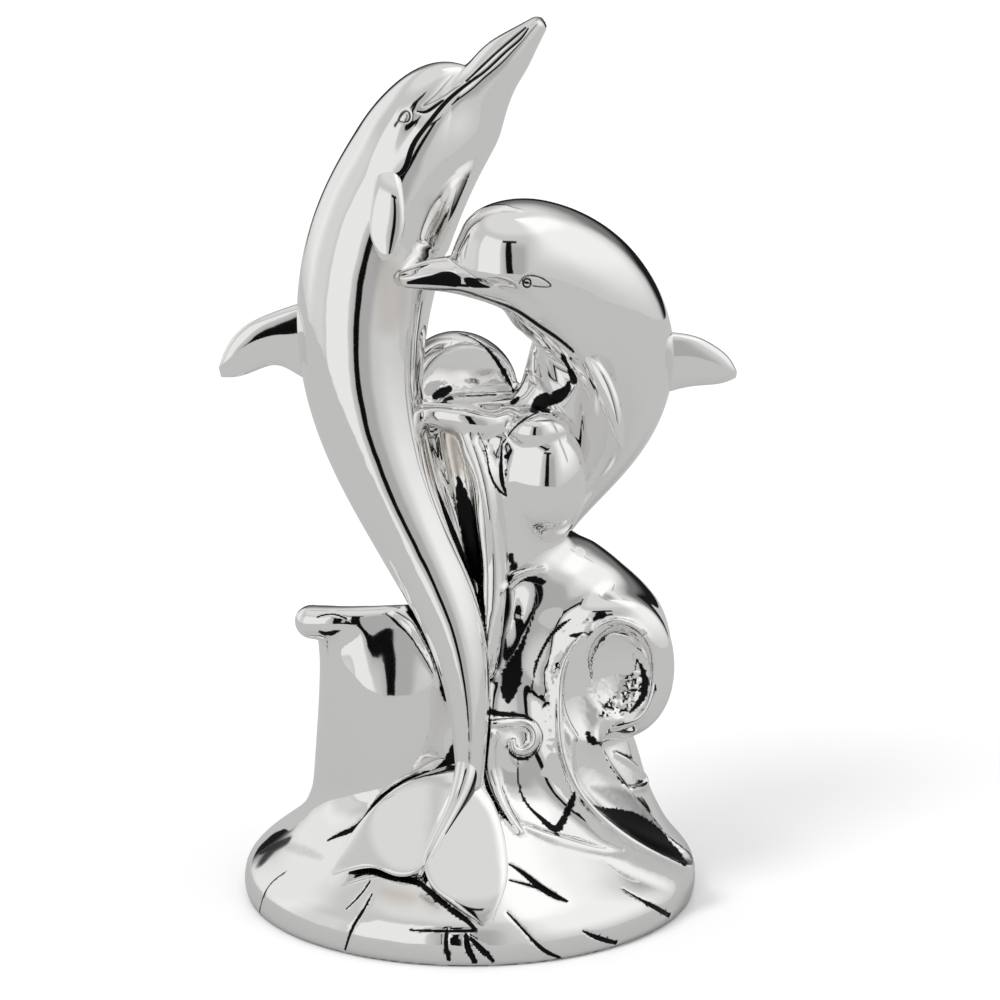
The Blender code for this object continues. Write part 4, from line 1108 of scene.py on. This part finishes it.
silver = polished_silver()
for piece in pieces:
    piece.data.materials.append(silver)
    piece.data.shade_smooth()
    piece.data.set_sharp_from_angle(angle=SHARP_FOLD)
    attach(piece, "root")
    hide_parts("dolphin_pair")


# Studio, in degrees of turn, 0 in front and 90 on the right, and of height
TENT_LIGHT, ROOF_LIGHT = 0.60, 0.14
# Panels: light added; turn from and to, softness; height from and to, softness
PANELS = (
    (0.26, (-62, -22, 1.5), (-14, 46, 3)), (-0.18, (-16, 16, 6), (-30, 40, 8)),
    (0.34, (35, 118, 18), (10, 120, 20)), (0.24, (-152, -100, 14), (0, 44, 8)),
    (0.10, (-110, -66, 8), (-6, 30, 8)),
)
SLIT, SLIT_CAP = ((-13, -3.6, 0.6), (-40, 46, 1)), ((-20, 4, 1), (42, 46, 1))


def tent():
    """Soft white tent: panels left and right, a slit in front, a dark gap behind."""
    world = bpy.data.worlds.new("tent")
    bpy.context.scene.world = world
    world.use_nodes = True
    tree = world.node_tree
    tree.nodes.clear()
    start = Value(tree)
    place = start.node("ShaderNodeTexCoord", {}, {}, "Generated")
    x, y, z = (start.node("ShaderNodeSeparateXYZ", {}, {0: place}, k) for k in range(3))
    turn = start.maths("ARCTAN2", x, 0.0 - y) * (180 / math.pi)
    height = start.maths("ARCSINE", z) * (180 / math.pi)
    light = TENT_LIGHT
    for added, turns, heights in PANELS:
        light = light + added * turn.band(*turns) * height.band(*heights)
    light = light + ROOF_LIGHT * height.step(50, 62)
    behind = start.maths("MAXIMUM", turn.step(120, 138), 1.0 - turn.step(-158, -148))
    light = light * (1.0 - behind * (0.98 - 0.30 * height.step(10, 26) - 0.68 * height.step(30, 54)))
    slit, cap = (turn.band(*turns) * height.band(*heights) for turns, heights in (SLIT, SLIT_CAP))
    light = light * (1.0 - 0.99 * start.maths("MAXIMUM", slit, cap))
    glow = start.node("ShaderNodeBackground", {}, {"Color": (1, 1, 1, 1), "Strength": light})
    tree.links.new(glow.socket, tree.nodes.new("ShaderNodeOutputWorld").inputs["Surface"])


def sheet(name, low, high, height, tone):
    """Flat sheet of the studio in one plain tone."""
    mesh = bpy.data.meshes.new(name)
    (x0, y0), (x1, y1) = low, high
    corners = [(x, y, height) for x, y in ((x0, y0), (x1, y0), (x1, y1), (x0, y1))]
    mesh.from_pydata(corners, [], [(0, 1, 2, 3)])
    paper = bpy.data.materials.new(name)
    paper.use_nodes = True
    sockets = paper.node_tree.nodes["Principled BSDF"].inputs
    sockets["Base Color"].default_value = (tone, tone, tone, 1)
    sockets["Roughness"].default_value = 0.9
    sockets["Specular IOR Level"].default_value = 0.0
    mesh.materials.append(paper)
    made = added(name, mesh)
    return made


def lamp(name, strength, spread, direction):
    """Soft lamp that lights the floor and stays out of the polish."""
    data = bpy.data.lights.new(name, "SUN")
    data.energy = strength
    data.angle = math.radians(spread)
    made = added(name, data)
    made.rotation_euler = Vector(direction).to_track_quat("-Z", "Y").to_euler()
    made.visible_glossy = False


def front_camera():
    data = bpy.data.cameras.new("camera")
    data.sensor_width = 36
    data.lens = SIGHT_SCALE * SIGHT_DISTANCE / FRAME_WIDTH * data.sensor_width
    data.clip_end = 20
    camera = added("camera", data)
    camera.location = EYE * PART
    camera.rotation_euler = Vector(-BACK_TO_EYE).to_track_quat("-Z", "Y").to_euler()
    bpy.context.scene.camera = camera


tent()
floor = sheet("floor", (-4, -4), (4, 4), 0.0, 0.9)
floor.visible_glossy = False
# Darkens what the polish mirrors from below, and isn't seen itself
mat = sheet("grey_mat", (-2.5, -0.7), (2.5, 1.5), 0.0002, 0.46)
mat.visible_camera = False
mat.visible_diffuse = False
mat.visible_shadow = False
lamp("ceiling_lamp", 0.85, 80, (0, 0, -1))
lamp("key_lamp", 1.0, 24, (0.55, 0.5, -0.85))
front_camera()
bpy.context.scene.view_settings.view_transform = "Standard"
